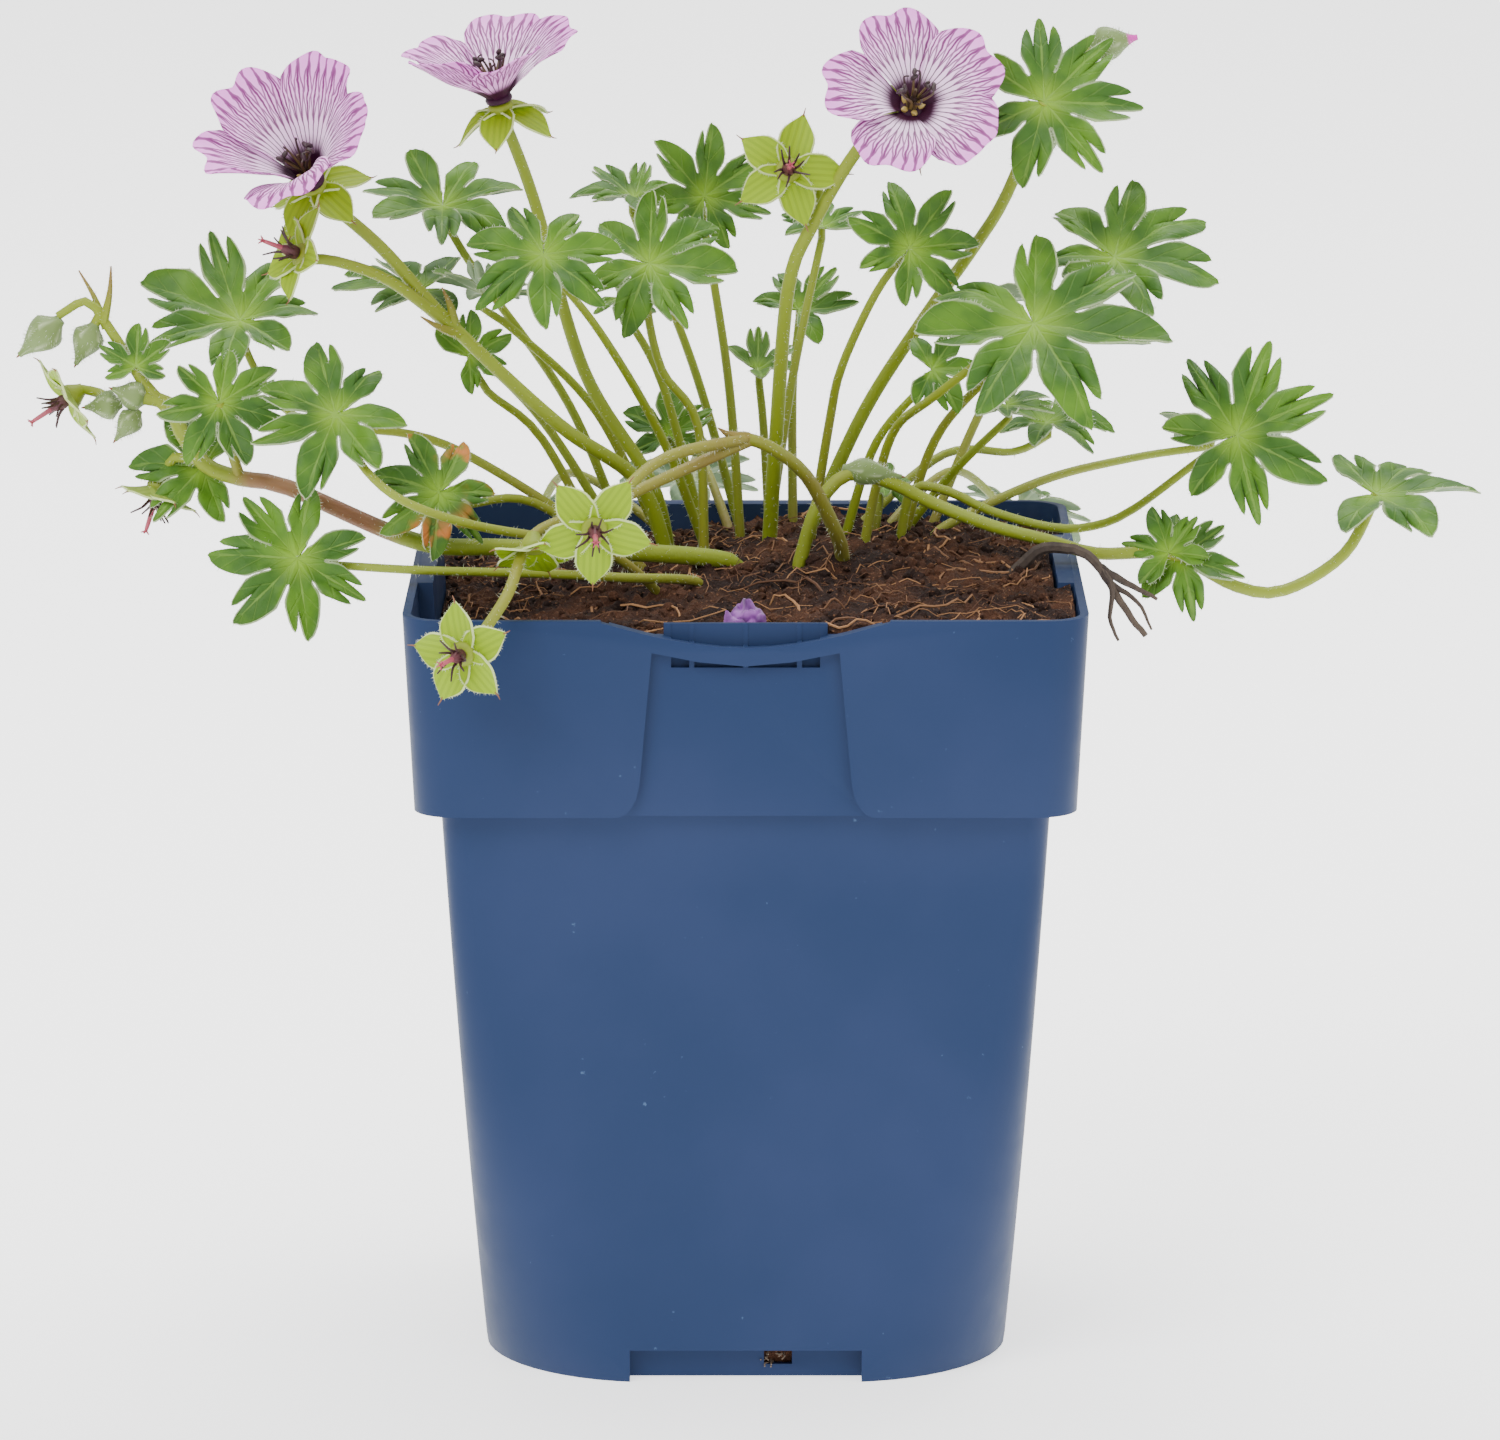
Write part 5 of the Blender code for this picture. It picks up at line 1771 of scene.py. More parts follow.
    def wedge(self, share: float, part: float, sides: tuple, axis: float) -> tuple:
        """A place between two clefts.

        Args:
            share: The place across, from -1 to 1.
            part: The place outwards, from 0 to 1.
            sides: The angles of the two clefts and how far out they start.
            axis: The angle of the lobe's middle.

        Returns:
            How far the place is along and across the lobe.
        """
        side = 0 if share < 0 else 1
        cleft, depth = sides[0][side], sides[1][side]
        angle = axis + abs(cleft - axis) * share
        radius = self.length * (LOBE_START + (depth - LOBE_START) * share * share) * part
        turn = math.radians(angle - axis)
        return radius * math.cos(turn), radius * math.sin(turn)

    def inner_rows(self, made: Draft, place: object, sides: tuple, axis: float) -> list:
        """The rows of one lobe between the stalk and the clefts.

        Args:
            made: The blade's draft.
            place: Gives a point from its place along and across the lobe.
            sides: The angles of the two clefts and how far out they start.
            axis: The angle of the lobe's middle.

        Returns:
            The rows of points, whose ends are still to be set.
        """
        rows = []
        for part in self.inner:
            line = [0]
            for share in self.columns[1:-1]:
                u, v = self.wedge(share, part, sides, axis)
                flat = (abs(v) / FLAT_SCALE, u / FLAT_SCALE)
                reach = math.hypot(u, v) / self.length
                line.append(made.point(place(u, v, axis, share, 0, 0), reach, 0.0, flat))
            rows.append([*line, 0])
        return rows

    def grow(self, into: Draft) -> None:
        """Adds the blade, with its thickness and its fringe of hairs, to a draft."""
        sheet = self.sheet()
        sheet.sheet(LEAF_SHEET, Look.LEAF_BACK, (0.5, 0.6), random.Random(100 + self.seed))
        into.join(sheet)


def rooted(foot: tuple, route: list, spacing: float = 2.5) -> list[Vector]:
    """A stalk's way from its hole, straight out of the peat, and along the given points.

    Args:
        foot: Where it leaves the peat.
        route: The points that it passes.
        spacing: Roughly how far apart the results stand.

    Returns:
        The points along the stalk.
    """
    x, y = foot
    level = soil_height(x, y)
    way = (Vector(route[0]) - Vector((x, y, level))).normalized()
    buried = Vector((x - 3.0 * way.x, y - 3.0 * way.y, level - STEM_IN_SOIL))
    return smooth_path([buried, Vector((x, y, level + 0.6)), *route], spacing)


@dataclass(frozen=True)
class Leaf:
    """A leaf on its own stalk."""

    name: str
    seed: int
    plan: LeafPlan
    thickness: tuple = (0.86, 0.66)

    def build(self, finishes: tuple) -> bpy.types.Object:
        """Grows the stalk and the blade.

        Args:
            finishes: The finishes of the growth.

        Returns:
            The piece.
        """
        plan, draw = self.plan, random.Random(500 + self.seed)
        along, across, normal = blade_frame(plan.tilt, plan.toward, plan.spin)
        top = Vector(plan.base) + along * 0.35 + across * 0.12 - normal * 0.06
        path = [*rooted(plan.foot, [*plan.route, top - normal * 2.4]), top]
        made = Draft()
        tone = draw.uniform(-0.05, 0.22)
        made.tube(path, self.thickness, Look.STEM, 8, (0.3 + tone, tone * 0.5))
        made.fur(path, self.thickness, draw, 3.0, 0.7)
        shape = (plan.base, plan.tilt, plan.toward, plan.spin, plan.length, plan.lobes, plan.rise, plan.curl)
        Blade(self.seed, *shape).grow(made)
        return make_piece("grown_" + self.name, made, finishes, (self.name,))


# ---------------------------------------------------------------- flowers


def flower_frame(axis: tuple, turn: float) -> tuple:
    """A flower's own axes.

    Args:
        axis: Its direction.
        turn: The turn of its first petal, in degrees.

    Returns:
        Two directions across it and one along it.
    """
    axis = Vector(axis).normalized()
    level = Vector((0, -1, 0)) if abs(axis.z) > 0.9 else Vector((0, 0, 1))
    first = (level - axis * level.dot(axis)).normalized()
    first = Matrix.Rotation(math.radians(turn), 3, axis) @ first
    return first, axis.cross(first), axis


@dataclass(frozen=True)
class Calyx:
    """The knob at the end of a flower's stalk and its five boat-shaped sepals."""

    flower: FlowerPlan
    length: float
    rise: float
    seed: int
    width: float = 5.9
    rows: int = 15
    columns: tuple = (-1, -0.86, -0.6, -0.3, 0, 0.3, 0.6, 0.86, 1)

    def build(self, into: Draft) -> None:
        """Adds the knob and the sepals to a draft."""
        draw = random.Random(self.seed)
        frame = flower_frame(self.flower.axis, self.flower.turn)
        axis, centre = frame[2], Vector(self.flower.centre)
        profile = [(0.0, 0.95), (0.5, 1.15), (1.2, 1.55), (1.9, 2.0), (2.5, 2.2), (3.0, 2.1), (3.3, 1.7)]
        into.lathe(centre - axis * 3.6, axis, profile, Look.STEM, 14, (0.0, 0.1))
        for index in range(PETALS):
            self.sepal(into, frame, centre - axis * 1.5, 36 + 72 * index, draw)

    def sepal(self, into: Draft, frame: tuple, centre: Vector, turn: float, draw: random.Random) -> None:
        """Adds one sepal.

        Args:
            into: The draft.
            frame: The flower's axes.
            centre: Where the sepals meet.
            turn: The sepal's turn round the flower.
            draw: The source of chance.
        """
        first, second, axis = frame
        turn = math.radians(turn + draw.uniform(-4, 4))
        out = first * math.cos(turn) + second * math.sin(turn)
        side = axis.cross(out)
        length = self.length * draw.uniform(0.95, 1.03)
        swing = draw.uniform(-3, 4)
        made, rows = Draft(), []
        for row in range(self.rows):
            share = row / (self.rows - 1)
            lean = math.radians(self.rise + swing - 14 * share)
            run = out * math.cos(lean) + axis * math.sin(lean)
            up = axis * math.cos(lean) - out * math.sin(lean)
            half = self.width / 2 * (0.52 + 0.48 * ease(share / 0.40))
            half = max(half * (1 - ease((share - 0.56) / 0.46)) ** 0.65, 0.10)
            line = []
            for column in self.columns:
                lift = 0.95 * abs(column) ** 2 * math.sin(math.pi * min(1.0, share + 0.08)) - 0.15
                place = centre + run * (share * length) + side * (column * half) + up * lift
                flat = (0.5 + column * half / FLAT_SCALE, share * length / FLAT_SCALE)
                line.append(made.point(place, share, abs(column), flat))
            rows.append(line)
        made.grid(rows, Look.SEPAL)
        made.sheet(SEPAL_SHEET, Look.SEPAL_BACK, (0.30, 0.45), draw)
        lean = math.radians(self.rise + swing - 14)
        run = out * math.cos(lean) + axis * math.sin(lean)
        tip = centre + run * (length - 0.4)
        awn = [tip, tip + run * 0.8, tip + run * 1.5 + axis * 0.25]
        made.tube(awn, (0.17, 0.06), Look.STEM, 5, (1.2, 1.4))
        into.join(made)


@dataclass(frozen=True)
class Bud:
    """A closed bud: five overlapping sepals with pale edges round a pointed egg."""

    plan: BudPlan
    seed: int
    shows_petals: float = 0.0
    sides: int = 30
    rows: int = 18
    widest: float = 0.32
    hairs: int = 150

    def build(self, into: Draft) -> None:
        """Adds the bud to a draft."""
        draw = random.Random(self.seed)
        plan = self.plan
        first, second, axis = flower_frame(plan.axis, 0)
        rings = []
        for row in range(self.rows + 1):
            share = row / self.rows
            if share < self.widest:
                size = 0.30 + 0.68 * ease(share / self.widest)
            else:
                size = 0.98 - 0.82 * ease((share - self.widest) / (1 - self.widest)) ** 1.15
            twist = 0.5 * share
            ring = []
            for step in range(self.sides):
                angle = 2 * math.pi * step / self.sides
                wave = (step / self.sides * PETALS + twist) % 1.0
                seam = ease((wave - 0.82) / 0.18)
                radius = 0.5 * plan.width * size * (1 + 0.07 * seam * math.sin(math.pi * share))
                out = first * math.cos(angle) - second * math.sin(angle)
                place = Vector(plan.centre) + axis * ((share - 0.5) * plan.length) + out * radius
                pink = ease((share - 1 + self.shows_petals) / 0.06) if self.shows_petals else 0.0
                ring.append(into.point(place, pink, seam * (1 - pink), (wave, share)))
            rings.append(ring)
        into.close(rings, Look.BUD)
        for _ in range(self.hairs):
            row = rings[draw.randrange(2, self.rows - 1)]
            root = Vector(into.points[row[draw.randrange(self.sides)]])
            out = root - Vector(plan.centre)
            out = (out - axis * out.dot(axis)).normalized()
            into.hair(root - out * 0.03, out + axis * draw.uniform(0.1, 0.9), draw.uniform(0.5, 0.9))
        if not self.shows_petals:
            tip = Vector(plan.centre) + axis * (plan.length / 2 - 0.3)
            into.tube([tip, tip + axis * 0.9], (0.32, 0.10), Look.STEM, 6, (1.0, 1.3))


@dataclass(frozen=True)
class PetalShape:
    """How one petal differs from its neighbours."""

    reach: float = 1.0
    width: float = 1.0
    bend: float = 0.0


@dataclass(frozen=True)
class Bloom:
    """An open flower's petals and stamens."""

    name: str
    plan: FlowerPlan
    shapes: tuple
    rows: int = 26
    columns: int = 23
    half_angle: float = 43.0
    sway: float = 0.9
    filaments: int = 10

    def petal(self, index: int, draw: random.Random) -> Draft:
        """One petal, its margin crinkled and its tip notched.

        Args:
            index: Its place round the flower.
            draw: The source of chance.

        Returns:
            The petal with its thickness.
        """
        shape = self.shapes[index]
        first, second, axis = flower_frame(self.plan.axis, self.plan.turn)
        centre = Vector(self.plan.centre) + axis * 0.5
        length = self.plan.length * shape.reach
        turn = math.radians(72 * index)
        phase = draw.uniform(0, 6)
        made, rows = Draft(), []
        for row in range(self.rows):
            part = 0.97 * row / (self.rows - 1)
            width = 0.86 + 0.08 * ease((part - 0.10) / 0.60) - 0.14 * ease((part - 0.74) / 0.28)
            line = []
            for step in range(self.columns):
                column = -1 + 2 * step / (self.columns - 1)
                edge = abs(column)
                tip = 1 - 0.20 * edge**2.6 - 0.055 * math.exp(-((column / 0.20) ** 2))
                tip += 0.018 * math.sin(7.0 * column + phase)
                share = part * (1 + (tip - 1) * ease(part * 1.25))
                bend = shape.bend * ease((share - 0.35) / 0.65)
                lean = math.radians(self.plan.rise + 14 - 22 * share - bend)
                half = math.radians(self.half_angle) * width * shape.width
                angle = turn + half * column
                out = first * math.cos(angle) + second * math.sin(angle)
                normal = axis * math.cos(lean) - out * math.sin(lean)
                place = centre + out * (CLAW + share * length * math.cos(lean))
                place += axis * (share * length * math.sin(lean))
                slip = self.sway * column * min(1.0, share * 2.4)
                ruffle = (0.25 + 0.75 * edge) * ease((share - 0.45) / 0.5)
                slip += 0.030 * length * ruffle * math.sin(9.0 * column + phase + 3.0 * share)
                spot = Vector((column * 1.6, share * 2.2, phase + 9 * index))
                slip += 0.045 * length * share * noise.noise(spot)
                place += normal * slip
                flat = (0.5 + 0.5 * column * (0.75 + 0.25 * width), share)
                line.append(made.point(place, share, max(edge, part), flat))
            rows.append(line)
        made.grid(rows, Look.PETAL)
        made.sheet(PETAL_SHEET, Look.PETAL_BACK)
        return made

    def petals(self, finishes: tuple) -> bpy.types.Object:
        """The flower's petals and the dark disc where their claws meet."""
        made, draw = Draft(), random.Random(hash_of(self.name))
        axis, centre = flower_frame(self.plan.axis, self.plan.turn)[2], Vector(self.plan.centre)
        made.lathe(centre, axis, [(0.0, 2.2), (0.5, 2.3), (1.0, 2.0), (1.2, 1.2)], Look.PETAL, 16)
        for index in range(PETALS):
            made.join(self.petal(index, draw))
        return make_piece("open_petals_" + self.name, made, finishes, ("petals_" + self.name,))

    def stamens(self) -> bpy.types.Object:
        """The dark curly filaments with their anthers, the style and the yellowish filament feet."""
        draw = random.Random(hash_of(self.name) + 5)
        first, second, axis = flower_frame(self.plan.axis, self.plan.turn)
        start = Vector(self.plan.centre) + axis * 1.35
        made = Draft()
        ovary = [(0.0, 1.0), (1.2, 0.95), (2.4, 0.7), (3.0, 0.35)]
        made.lathe(start - axis * 0.3, axis, ovary, Look.PLAIN, 10, (0.2, 0.0))
        for index in range(self.filaments):
            angle = 2 * math.pi * index / self.filaments + draw.uniform(-0.2, 0.2)
            out = first * math.cos(angle) + second * math.sin(angle)
            side = axis.cross(out)
            reach = draw.uniform(0.85, 1.15)
            curl = draw.uniform(-1.5, 1.5)
            foot = start + axis * 0.4 + out * 0.75
            points = [foot, foot + axis * 2.0 + out * 0.3]
            points.append(foot + axis * 4.2 * reach + out * 1.3 + side * 0.3 * curl)
            points.append(foot + axis * 5.6 * reach + out * 1.9 + side * 0.9 * curl)
            points.append(foot + axis * 5.9 * reach + out * 1.2 + side * 1.5 * curl)
            path = smooth_path(points, 0.5)
            made.tube(path, (0.30, 0.15), Look.PLAIN, 6, (0.08 if index % 2 else 0.45, 0.0))
            if index % 3:
                tilt = chance_way(draw)
                grain = [(0.0, 0.12), (0.25, 0.36), (0.75, 0.44), (1.3, 0.38), (1.6, 0.12)]
                made.lathe(path[-1] - tilt.normalized() * 0.8, tilt, grain, Look.PLAIN, 8)
        for index in range(PETALS):
            angle = math.radians(36 + 72 * index)
            out = first * math.cos(angle) + second * math.sin(angle)
            grain = [(0.0, 0.55), (0.5, 0.5), (1.1, 0.12)]
            made.lathe(start + out * 1.3 - axis * 0.2, out + axis * 0.9, grain, Look.PLAIN, 6, (1.0, 1.0))
        made.tube([start + axis * 2.0, start + axis * 5.4], (0.35, 0.25), Look.PLAIN, 6, (0.0, 0.1))
        name = self.name
        return make_piece("curly_stamens_" + name, made, (STAMEN,), ("stamens_" + name,))


@dataclass(frozen=True)
class SpentFlower:
    """What stands in a flower whose petals have dropped: dark filaments and a style with a split tip."""

    name: str
    plan: FlowerPlan
    filaments: int = 8

    def build(self) -> bpy.types.Object:
        """Adds the filaments, the swollen base and the style."""
        draw = random.Random(hash_of(self.name) + 9)
        first, second, axis = flower_frame(self.plan.axis, self.plan.turn)
        start = Vector(self.plan.centre) - axis * 0.08
        made = Draft()
        base = [(0.0, 1.05), (0.7, 1.2), (1.5, 1.05), (2.4, 0.7), (3.0, 0.45)]
        made.lathe(start, axis, base, Look.PLAIN, 12, (0.05, 0.2))
        path = [start + axis * (1.0 + step) for step in (0, 1.5, 3.0, 4.4, 5.4)]
        made.tube(path, (0.50, 0.34), Look.PLAIN, 7, (0.5, 1.0))
        for index in range(PETALS):
            angle = 2 * math.pi * index / PETALS
            out = first * math.cos(angle) + second * math.sin(angle)
            tip = path[-1] + axis * 0.7 + out * 0.75
            lobe = [path[-1] - axis * 0.2, path[-1] + axis * 0.4 + out * 0.25, tip]
            made.tube(lobe, (0.20, 0.10), Look.PLAIN, 5, (1.0, 0.8))
        for index in range(self.filaments):
            angle = 2 * math.pi * index / self.filaments + draw.uniform(-0.25, 0.25)
            out = first * math.cos(angle) + second * math.sin(angle)
            reach = draw.uniform(0.75, 1.15)
            side = axis.cross(out) * draw.uniform(-0.8, 0.8)
            points = [start + axis * 0.5 + out * 0.7, start + axis * 2.4 * reach + out * 1.5]
            points.append(start + axis * 4.0 * reach + out * 3.1 * reach + side)
            made.tube(smooth_path(points, 0.7), (0.30, 0.13), Look.PLAIN, 5, (0.05, 0.0))
        name = "stamens_spent_" + self.name
        return make_piece("dry_" + name, made, (STYLE,), (name,))


def hash_of(name: str) -> int:
    """A number drawn from a name, the same in every run."""
    return sum((index + 1) * ord(letter) for index, letter in enumerate(name))


# ---------------------------------------------------------------- stems


def foot_of(flower: FlowerPlan) -> Vector:
    """Where a flower's stalk meets its knob."""
    return Vector(flower.centre) - Vector(flower.axis).normalized() * 3.3


@dataclass(frozen=True)
class StemPlan:
    """A flowering stem and all that grows on it."""

    foot: tuple
    radius: float
    route: list
    branches: list = field(default_factory=list)
    spikes: list = field(default_factory=list)
    blades: list = field(default_factory=list)
    buds: list = field(default_factory=list)
    calyxes: list = field(default_factory=list)
    shade: float = 0.10
    dark_from: float = 0.0
    dark_to: float = 0.0


EXTRA_CALYX = FlowerPlan((-34, -48, 139), (0, -0.45, -0.89), 7.5, 30, 20)
JOINT = (-83, -12, 145)
CROOK = (-107, 0, 171)
NODE = (70.5, -3, 130.6)

STEMS = {
    "stem_left": StemPlan(
        (-13, 14), 1.3,
        [(-18, 8, 141), (-31, 0, 152), (-49, 0, 169), (-60, -3, 182), foot_of(BLOOMS["left"])],
        branches=[
            Branch([(-48, 0, 168), (-58.5, -4, 176.5), (-67, -8, 180.3), foot_of(SPENT["left"])], 1.0, 0.9),
        ],
        spikes=[((-47, 0, 167), (-53.5, -3.5, 170.5), 1.1), ((-48, 0, 168), (-50, -1.5, 175), 1.1)],
        calyxes=[(BLOOMS["left"], SEPAL_LENGTH, -6), (SPENT["left"], 8.5, 25)],
        shade=0.2,
    ),
    "stem_middle": StemPlan(
        (-13, 20), 1.2,
        [(-16, 14, 140), (-27, 12, 159), (-35, 8, 188), foot_of(BLOOMS["middle"])],
        calyxes=[(BLOOMS["middle"], SEPAL_LENGTH, -14)],
    ),
    "stem_right": StemPlan(
        (4, 20), 1.3,
        [(5, 12, 147), (7, 3, 174), (11, 1, 185), (19.5, 0, 199), foot_of(BLOOMS["right"])],
        branches=[Branch([(10.5, 1, 184), (12, 5, 190), foot_of(SPENT["centre"])], 1.0, 0.9)],
        calyxes=[(BLOOMS["right"], SEPAL_LENGTH, -8), (SPENT["centre"], 9.6, 12)],
    ),
    "stem_right_leafy": StemPlan(
        (11, 26), 1.2,
        [(20, 25, 150), (30, 19, 167), (38, 11, 180), (43, 7, 189), (48.5, 1.5, 204), (49, 0.5, 205.5)],
        branches=[
            Branch([(47.6, 2.4, 202.5), (53, 7, 209), (57, 9, 213)], 0.9, 0.8),
            Branch([(44.6, 5.2, 194), (47, 7.6, 199.6), (49, 9, 201)], 0.8, 0.7),
        ],
        blades=[(40, (49, 0.5, 205.5), 64, -90, 85, 16.5, 7, 4, 0.08)],
        buds=[
            (BudPlan((60.5, 9.5, 214.2), (0.94, 0, 0.2), 8.5, 6.0), 0.22),
            (BudPlan((49.5, 9.5, 197.6), (-0.15, 0, -1), 8.0, 4.6), 0.0),
        ],
    ),
    "stem_left_leafy": StemPlan(
        (-3, 6), 1.6,
        [
            (-21, -5, 131.5), (-40, -15, 134), (-54, -20, 136), (-75, -15, 144), JOINT,
            (-89, -10, 147), (-93, -7, 152), (-95, -4, 156), (-100, -3.6, 157.2),
        ],
        branches=[
            Branch([JOINT, (-84.5, -14, 151), (-86, -15, 158)], 0.9, 0.8),
            Branch([(-94, -5, 154), (-99, -3, 159), (-103, -1, 165), CROOK], 1.1, 0.8),
            Branch([(-106, 0, 170), (-109, 0, 172.5), (-113.5, 0, 170)], 0.8, 0.7),
            Branch([(-106.3, 0, 170.6), (-108, 0, 167.6)], 0.9, 0.8),
            Branch([(-104, -2, 156), (-107, -1, 157.4), foot_of(SPENT["far_left"])], 0.9, 0.8),
            Branch([(-90, -9.5, 147.5), (-94, -7, 147.6), foot_of(SPENT["low_left"])], 0.9, 0.8),
        ],
        spikes=[
            ((-106, -0.5, 169), (-104.5, -1, 178.5), 0.9),
            ((-105.5, 0, 168), (-110, 1, 177.5), 0.8),
        ],
        blades=[
            (41, (-86, -15, 158), 64, -88, 20, 12.0, 7, 4, 0.08),
            (42, (-89.5, -7.5, 146), 58, -100, 270, 14.0, 5, 4, 0.08),
            (43, (-100.5, -3, 162), 60, -90, 180, 7.5, 5, 10, 0.05),
        ],
        buds=[
            (BudPlan((-116.5, 0, 166.5), (-0.72, 0, -0.62), 9.2, 6.2), 0.0),
            (BudPlan((-109, 0, 165.4), (-0.42, 0, -0.86), 7.6, 5.4), 0.0),
            (BudPlan((-101.5, -3.5, 157.5), (-0.8, -0.2, 0.3), 6.4, 5.2), 0.0),
            (BudPlan((-106, -2.5, 155.5), (-0.98, 0, -0.1), 6.2, 5.0), 0.0),
            (BudPlan((-102, -4, 152.5), (-0.6, -0.1, -0.75), 6.4, 4.4), 0.0),
        ],
        calyxes=[(SPENT["far_left"], 8.5, 20), (SPENT["low_left"], 7.5, 32)],
        shade=0.15,
        dark_from=-86.0,
        dark_to=-54.0,
    ),
    "stem_front": StemPlan(
        (16, 3), 1.3,
        [(15, -2, 134), (10, -10, 145), (4, -17, 151), (0, -20, 153)],
        branches=[
            Branch([(0.5, -19.5, 153), (-14, -36, 152), foot_of(SPENT["front"])], 1.0, 0.9),
            Branch(
                [
                    (0.5, -19.5, 152.5), (-12, -29, 148.5), (-24, -38, 144.5), (-34, -45, 141.5),
                    (-38, -58, 134), foot_of(SPENT["hanging"]),
                ],
                1.0,
                0.9,
            ),
        ],
        spikes=[((0, -20, 153), (-4.5, -24.5, 155.5), 1.2)],
        calyxes=[(SPENT["front"], 9.6, 8), (SPENT["hanging"], 8.8, 18), (EXTRA_CALYX, 7.5, 30)],
        shade=0.55,
    ),
    "runner": StemPlan(
        (9, 2), 1.2,
        [
            (12, 2, 138), (17, 3, 143), (24, 4, 141.5), (31, 4, 138), (41, 0, 134.8), (50, -3, 133),
            (58, -4, 131), NODE, (81.5, -2, 125), (89.5, 0, 124), (99.5, 3, 129.5), (105, 6, 139),
        ],
        blades=[
            (44, (105, 6, 139), 16, -90, 90, 18.5, 5, 6, 0.06),
            (45, (70, -4, 131), 66, -90, 200, 9.0, 5, 8, 0.05),
            (46, (72, -3, 130.4), 50, -90, 70, 11.0, 5, -10, 0.06),
        ],
        buds=[(BudPlan((21, 3.7, 143.2), (0.95, 0.1, -0.15), 10.0, 4.6), 0.0)],
        shade=0.25,
    ),
}


@dataclass(frozen=True)
class Stem:
    """A flowering stem grown from its plan."""

    name: str
    plan: StemPlan

    def tint(self, place: Vector) -> float:
        """How much browner the stem is at a place."""
        plan = self.plan
        if not plan.dark_from < place.x < plan.dark_to:
            return 0.0
        share = (place.x - plan.dark_from) / (plan.dark_to - plan.dark_from)
        return 0.75 * ease(share * 5) * ease((1 - share) * 5)

    def stalk(self, into: Draft, path: list, radii: tuple, draw: random.Random) -> None:
        """Adds one hairy stalk to a draft."""
        into.tube(path, radii, Look.STEM, 9, (self.plan.shade, self.plan.shade * 0.6), self.tint)
        into.fur(path, radii, draw, 4.0, 0.8)

    def build(self, finishes: tuple) -> bpy.types.Object:
        """Grows the stem, its branches, spikes, blades, buds and calyxes.

        Args:
            finishes: The finishes of the growth.

        Returns:
            The piece.
        """
        plan, draw = self.plan, random.Random(hash_of(self.name))
        made = Draft()
        self.stalk(made, rooted(plan.foot, plan.route), (plan.radius, plan.radius * 0.8), draw)
        for branch in plan.branches:
            path = smooth_path(branch.points, 2.0)
            self.stalk(made, path, (branch.first_radius, branch.last_radius), draw)
        for start, end, radius in plan.spikes:
            start, end = Vector(start), Vector(end)
            bow = (end - start).orthogonal().normalized() * 0.5
            path = smooth_path([start, start.lerp(end, 0.5) + bow, end], 1.0)
            made.tube(path, (radius, 0.12), Look.STEM, 7, (plan.shade, 0.7))
            made.fur(path, (radius, 0.12), draw, 4.0, 0.6)
        for blade in plan.blades:
            Blade(*blade).grow(made)
        for index, (bud, pink) in enumerate(plan.buds):
            Bud(bud, 700 + index, pink).build(made)
        for index, (flower, length, rise) in enumerate(plan.calyxes):
            Calyx(flower, length, rise, 800 + index).build(made)
        return make_piece("grown_" + self.name, made, finishes, (self.name,))


def build_fallen_petal() -> bpy.types.Object:
    """The crumpled petal on the peat behind the pot's tongue."""
    made, rows = Draft(), []
    steps = 27
    for row in range(steps + 1):
        line = []
        for step in range(steps + 1):
            down, across = 3 * row / steps, 3 * step / steps
            lift = math.sin(1.4 * down + 1.9 * across) * min(1.0, down)
            y = -46.5 + 0.9 * down + 0.8 * math.sin(2.0 * across)
            narrow = 1 - 0.05 * down**2.2
            place = Vector((-0.15 + 2.3 * (across - 1.5) * narrow, y, 127.1 + 1.15 * down + 0.4 * lift))
            place.z -= 0.5 * abs(across - 1.5) ** 2 * down / 3
            place.y += 0.8 * noise.noise(place * 0.9)
            place.z += 0.9 * noise.noise(place * 0.8) * min(1.0, down)
            line.append(made.point(place, down / 3, 0.0, (step / steps, row / steps)))
        rows.append(line)
    made.grid(rows, Look.PLAIN)
    made.sheet(WITHERED_SHEET, Look.PLAIN)
    return make_piece("crumpled_petal", made, (WITHERED,), ("fallen_petal",))


# ---------------------------------------------------------------- stage


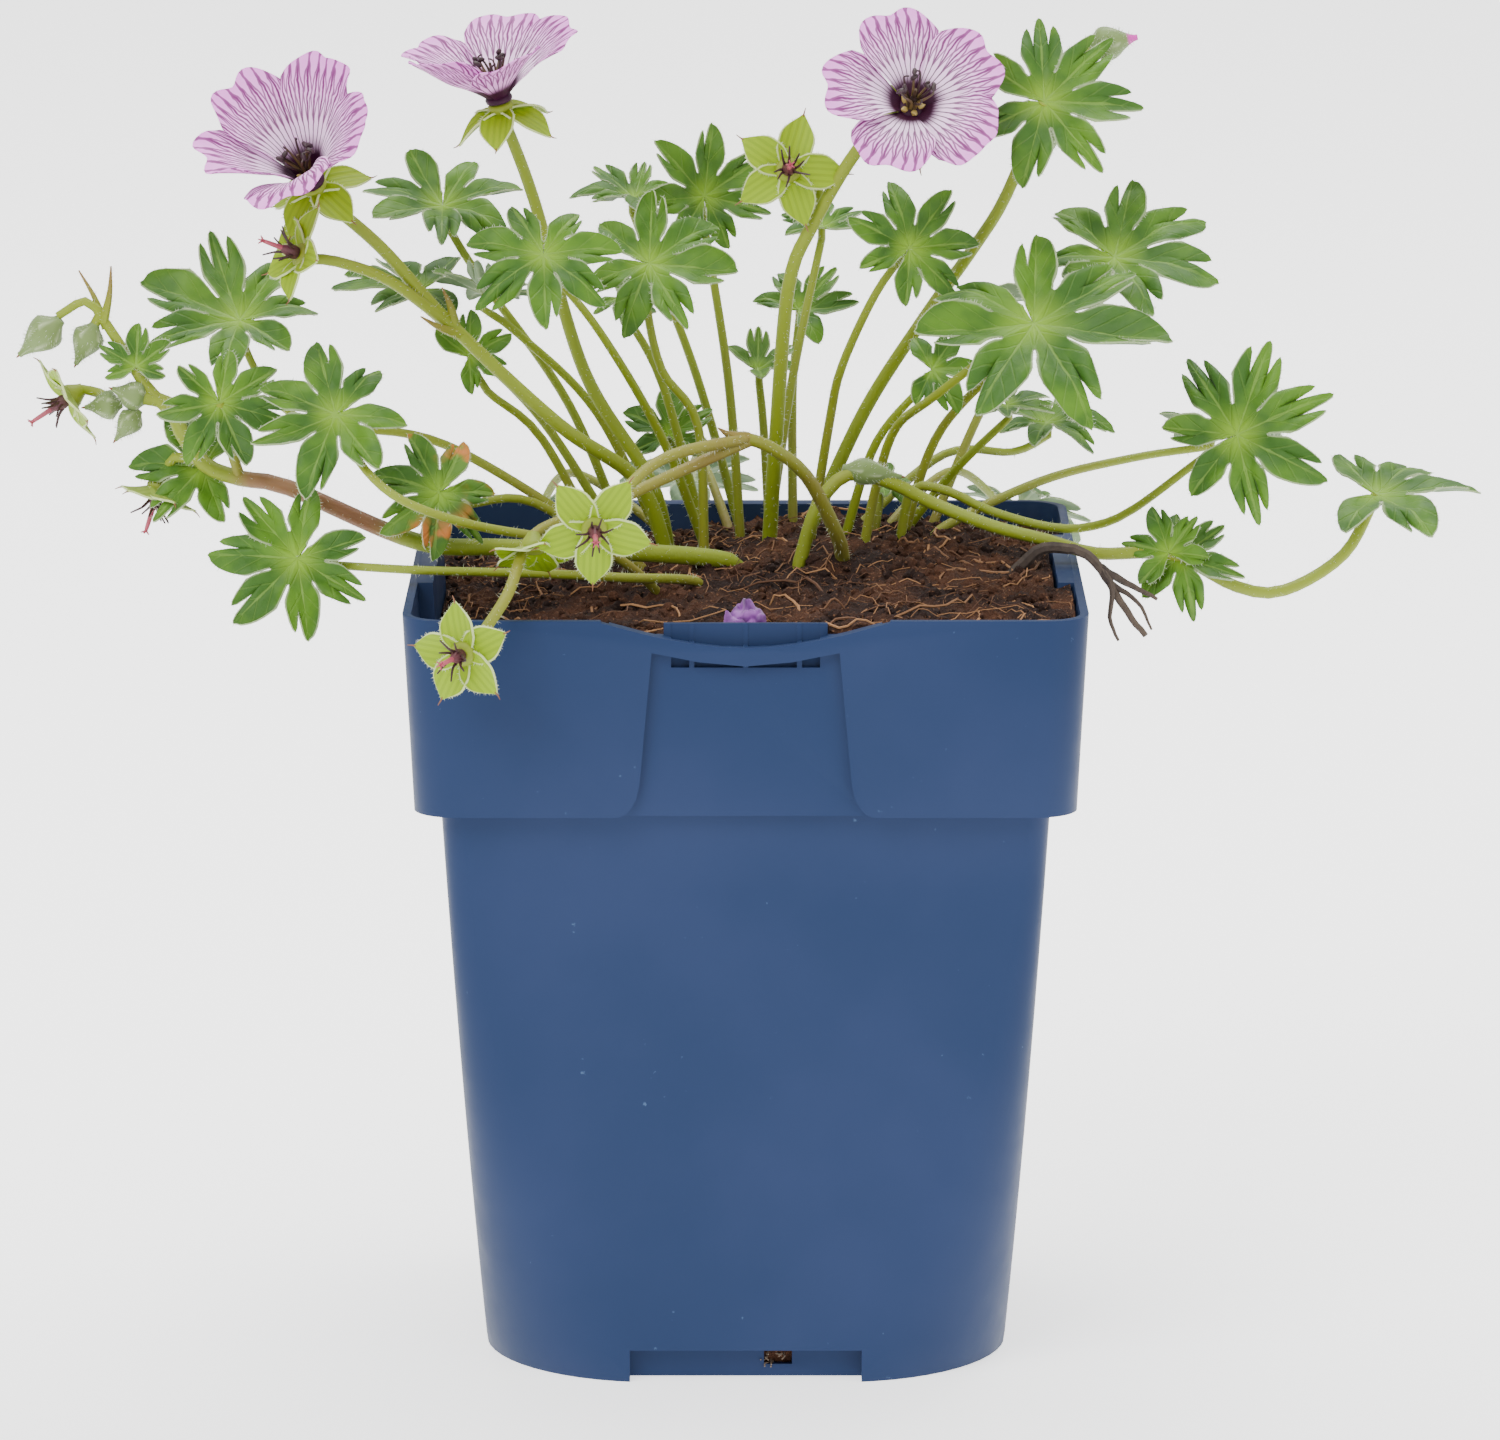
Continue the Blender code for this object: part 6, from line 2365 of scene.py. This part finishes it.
@dataclass
class Studio:
    """A wide pale floor that glows as painted light, soft lights and the camera."""

    lens: float = 193.2
    camera_place: tuple = (0.0007, -1.314, 0.3741)
    camera_tilt: float = 78.3
    floor_reach: float = 9.0
    aim: tuple = (0.0, 0.0, 0.12)

    def floor(self) -> None:
        """The floor, wide enough to fill the view from every side."""
        reach = self.floor_reach
        corners = [(-reach, -reach, 0.0), (reach, -reach, 0.0), (reach, reach, 0.0), (-reach, reach, 0.0)]
        mesh = bpy.data.meshes.new("floor")
        mesh.from_pydata(corners, [], [(0, 1, 2, 3)])
        mesh.materials.append(PAPER.material())
        floor = new_object("floor", mesh)

    def light(self, name: str, place: tuple, size: float, power: float) -> None:
        """Adds a soft square light that faces the plant.

        Args:
            name: The light's name.
            place: Where it stands, in metres.
            size: Its width, in metres.
            power: Its power, in watts.
        """
        data = bpy.data.lights.new(name, "AREA")
        data.size = size
        data.energy = power
        made = new_object(name, data)
        made.location = place
        made.rotation_euler = (Vector(self.aim) - Vector(place)).to_track_quat("-Z", "Y").to_euler()

    def build(self) -> None:
        """Adds the floor, the lights, the surroundings and the camera."""
        self.floor()
        self.light("key", (-0.9, -1.3, 1.5), 1.1, 34.0)
        self.light("fill", (1.3, -1.2, 0.8), 1.4, 11.0)
        self.light("top", (0.1, 0.5, 1.7), 1.2, 32.0)
        world = bpy.data.worlds.new("surroundings")
        world.use_nodes = True
        world.node_tree.nodes["Background"].inputs["Color"].default_value = (1.0, 1.0, 1.0, 1.0)
        world.node_tree.nodes["Background"].inputs["Strength"].default_value = 0.9
        bpy.context.scene.world = world
        data = bpy.data.cameras.new("camera")
        data.lens = self.lens
        camera = new_object("camera", data)
        camera.location = self.camera_place
        camera.rotation_euler = (math.radians(self.camera_tilt), 0, 0)
        bpy.context.scene.camera = camera


def finishes_of(name: str) -> tuple:
    """The finishes of one leaf or stem: a few blades are ageing or young."""
    top = {"leaf_21": LEAF_AGEING, "leaf_24": LEAF_YOUNG, "leaf_07": LEAF_YOUNG}.get(name, LEAF_TOP)
    return (top, *GROWTH[1:])


PETAL_SHAPES = {
    "left": (
        PetalShape(bend=-5),
        PetalShape(width=1.15, bend=-7),
        PetalShape(width=1.10, reach=0.95, bend=4),
        PetalShape(),
        PetalShape(bend=-5),
    ),
    "middle": (
        PetalShape(bend=-8),
        PetalShape(bend=-4),
        PetalShape(bend=-4),
        PetalShape(bend=-4),
        PetalShape(width=1.10, bend=-13),
    ),
    "right": (PetalShape(), PetalShape(), PetalShape(), PetalShape(), PetalShape()),
}


def main() -> None:
    """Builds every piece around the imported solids."""
    logging.basicConfig(level=logging.INFO, format="%(name)s: %(message)s")
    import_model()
    Pot().build()
    Peat().build()
    for index, (name, plan) in enumerate(LEAVES.items()):
        Leaf(name, index, plan).build(finishes_of(name))
    for name, plan in STEMS.items():
        Stem(name, plan).build(finishes_of(name))
    for name, plan in BLOOMS.items():
        bloom = Bloom(name, plan, PETAL_SHAPES[name])
        bloom.petals(GROWTH)
        bloom.stamens()
    for name, plan in SPENT.items():
        SpentFlower(name, plan).build()
    build_fallen_petal()
    Studio().build()
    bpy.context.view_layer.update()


if __name__ == "__main__":
    main()
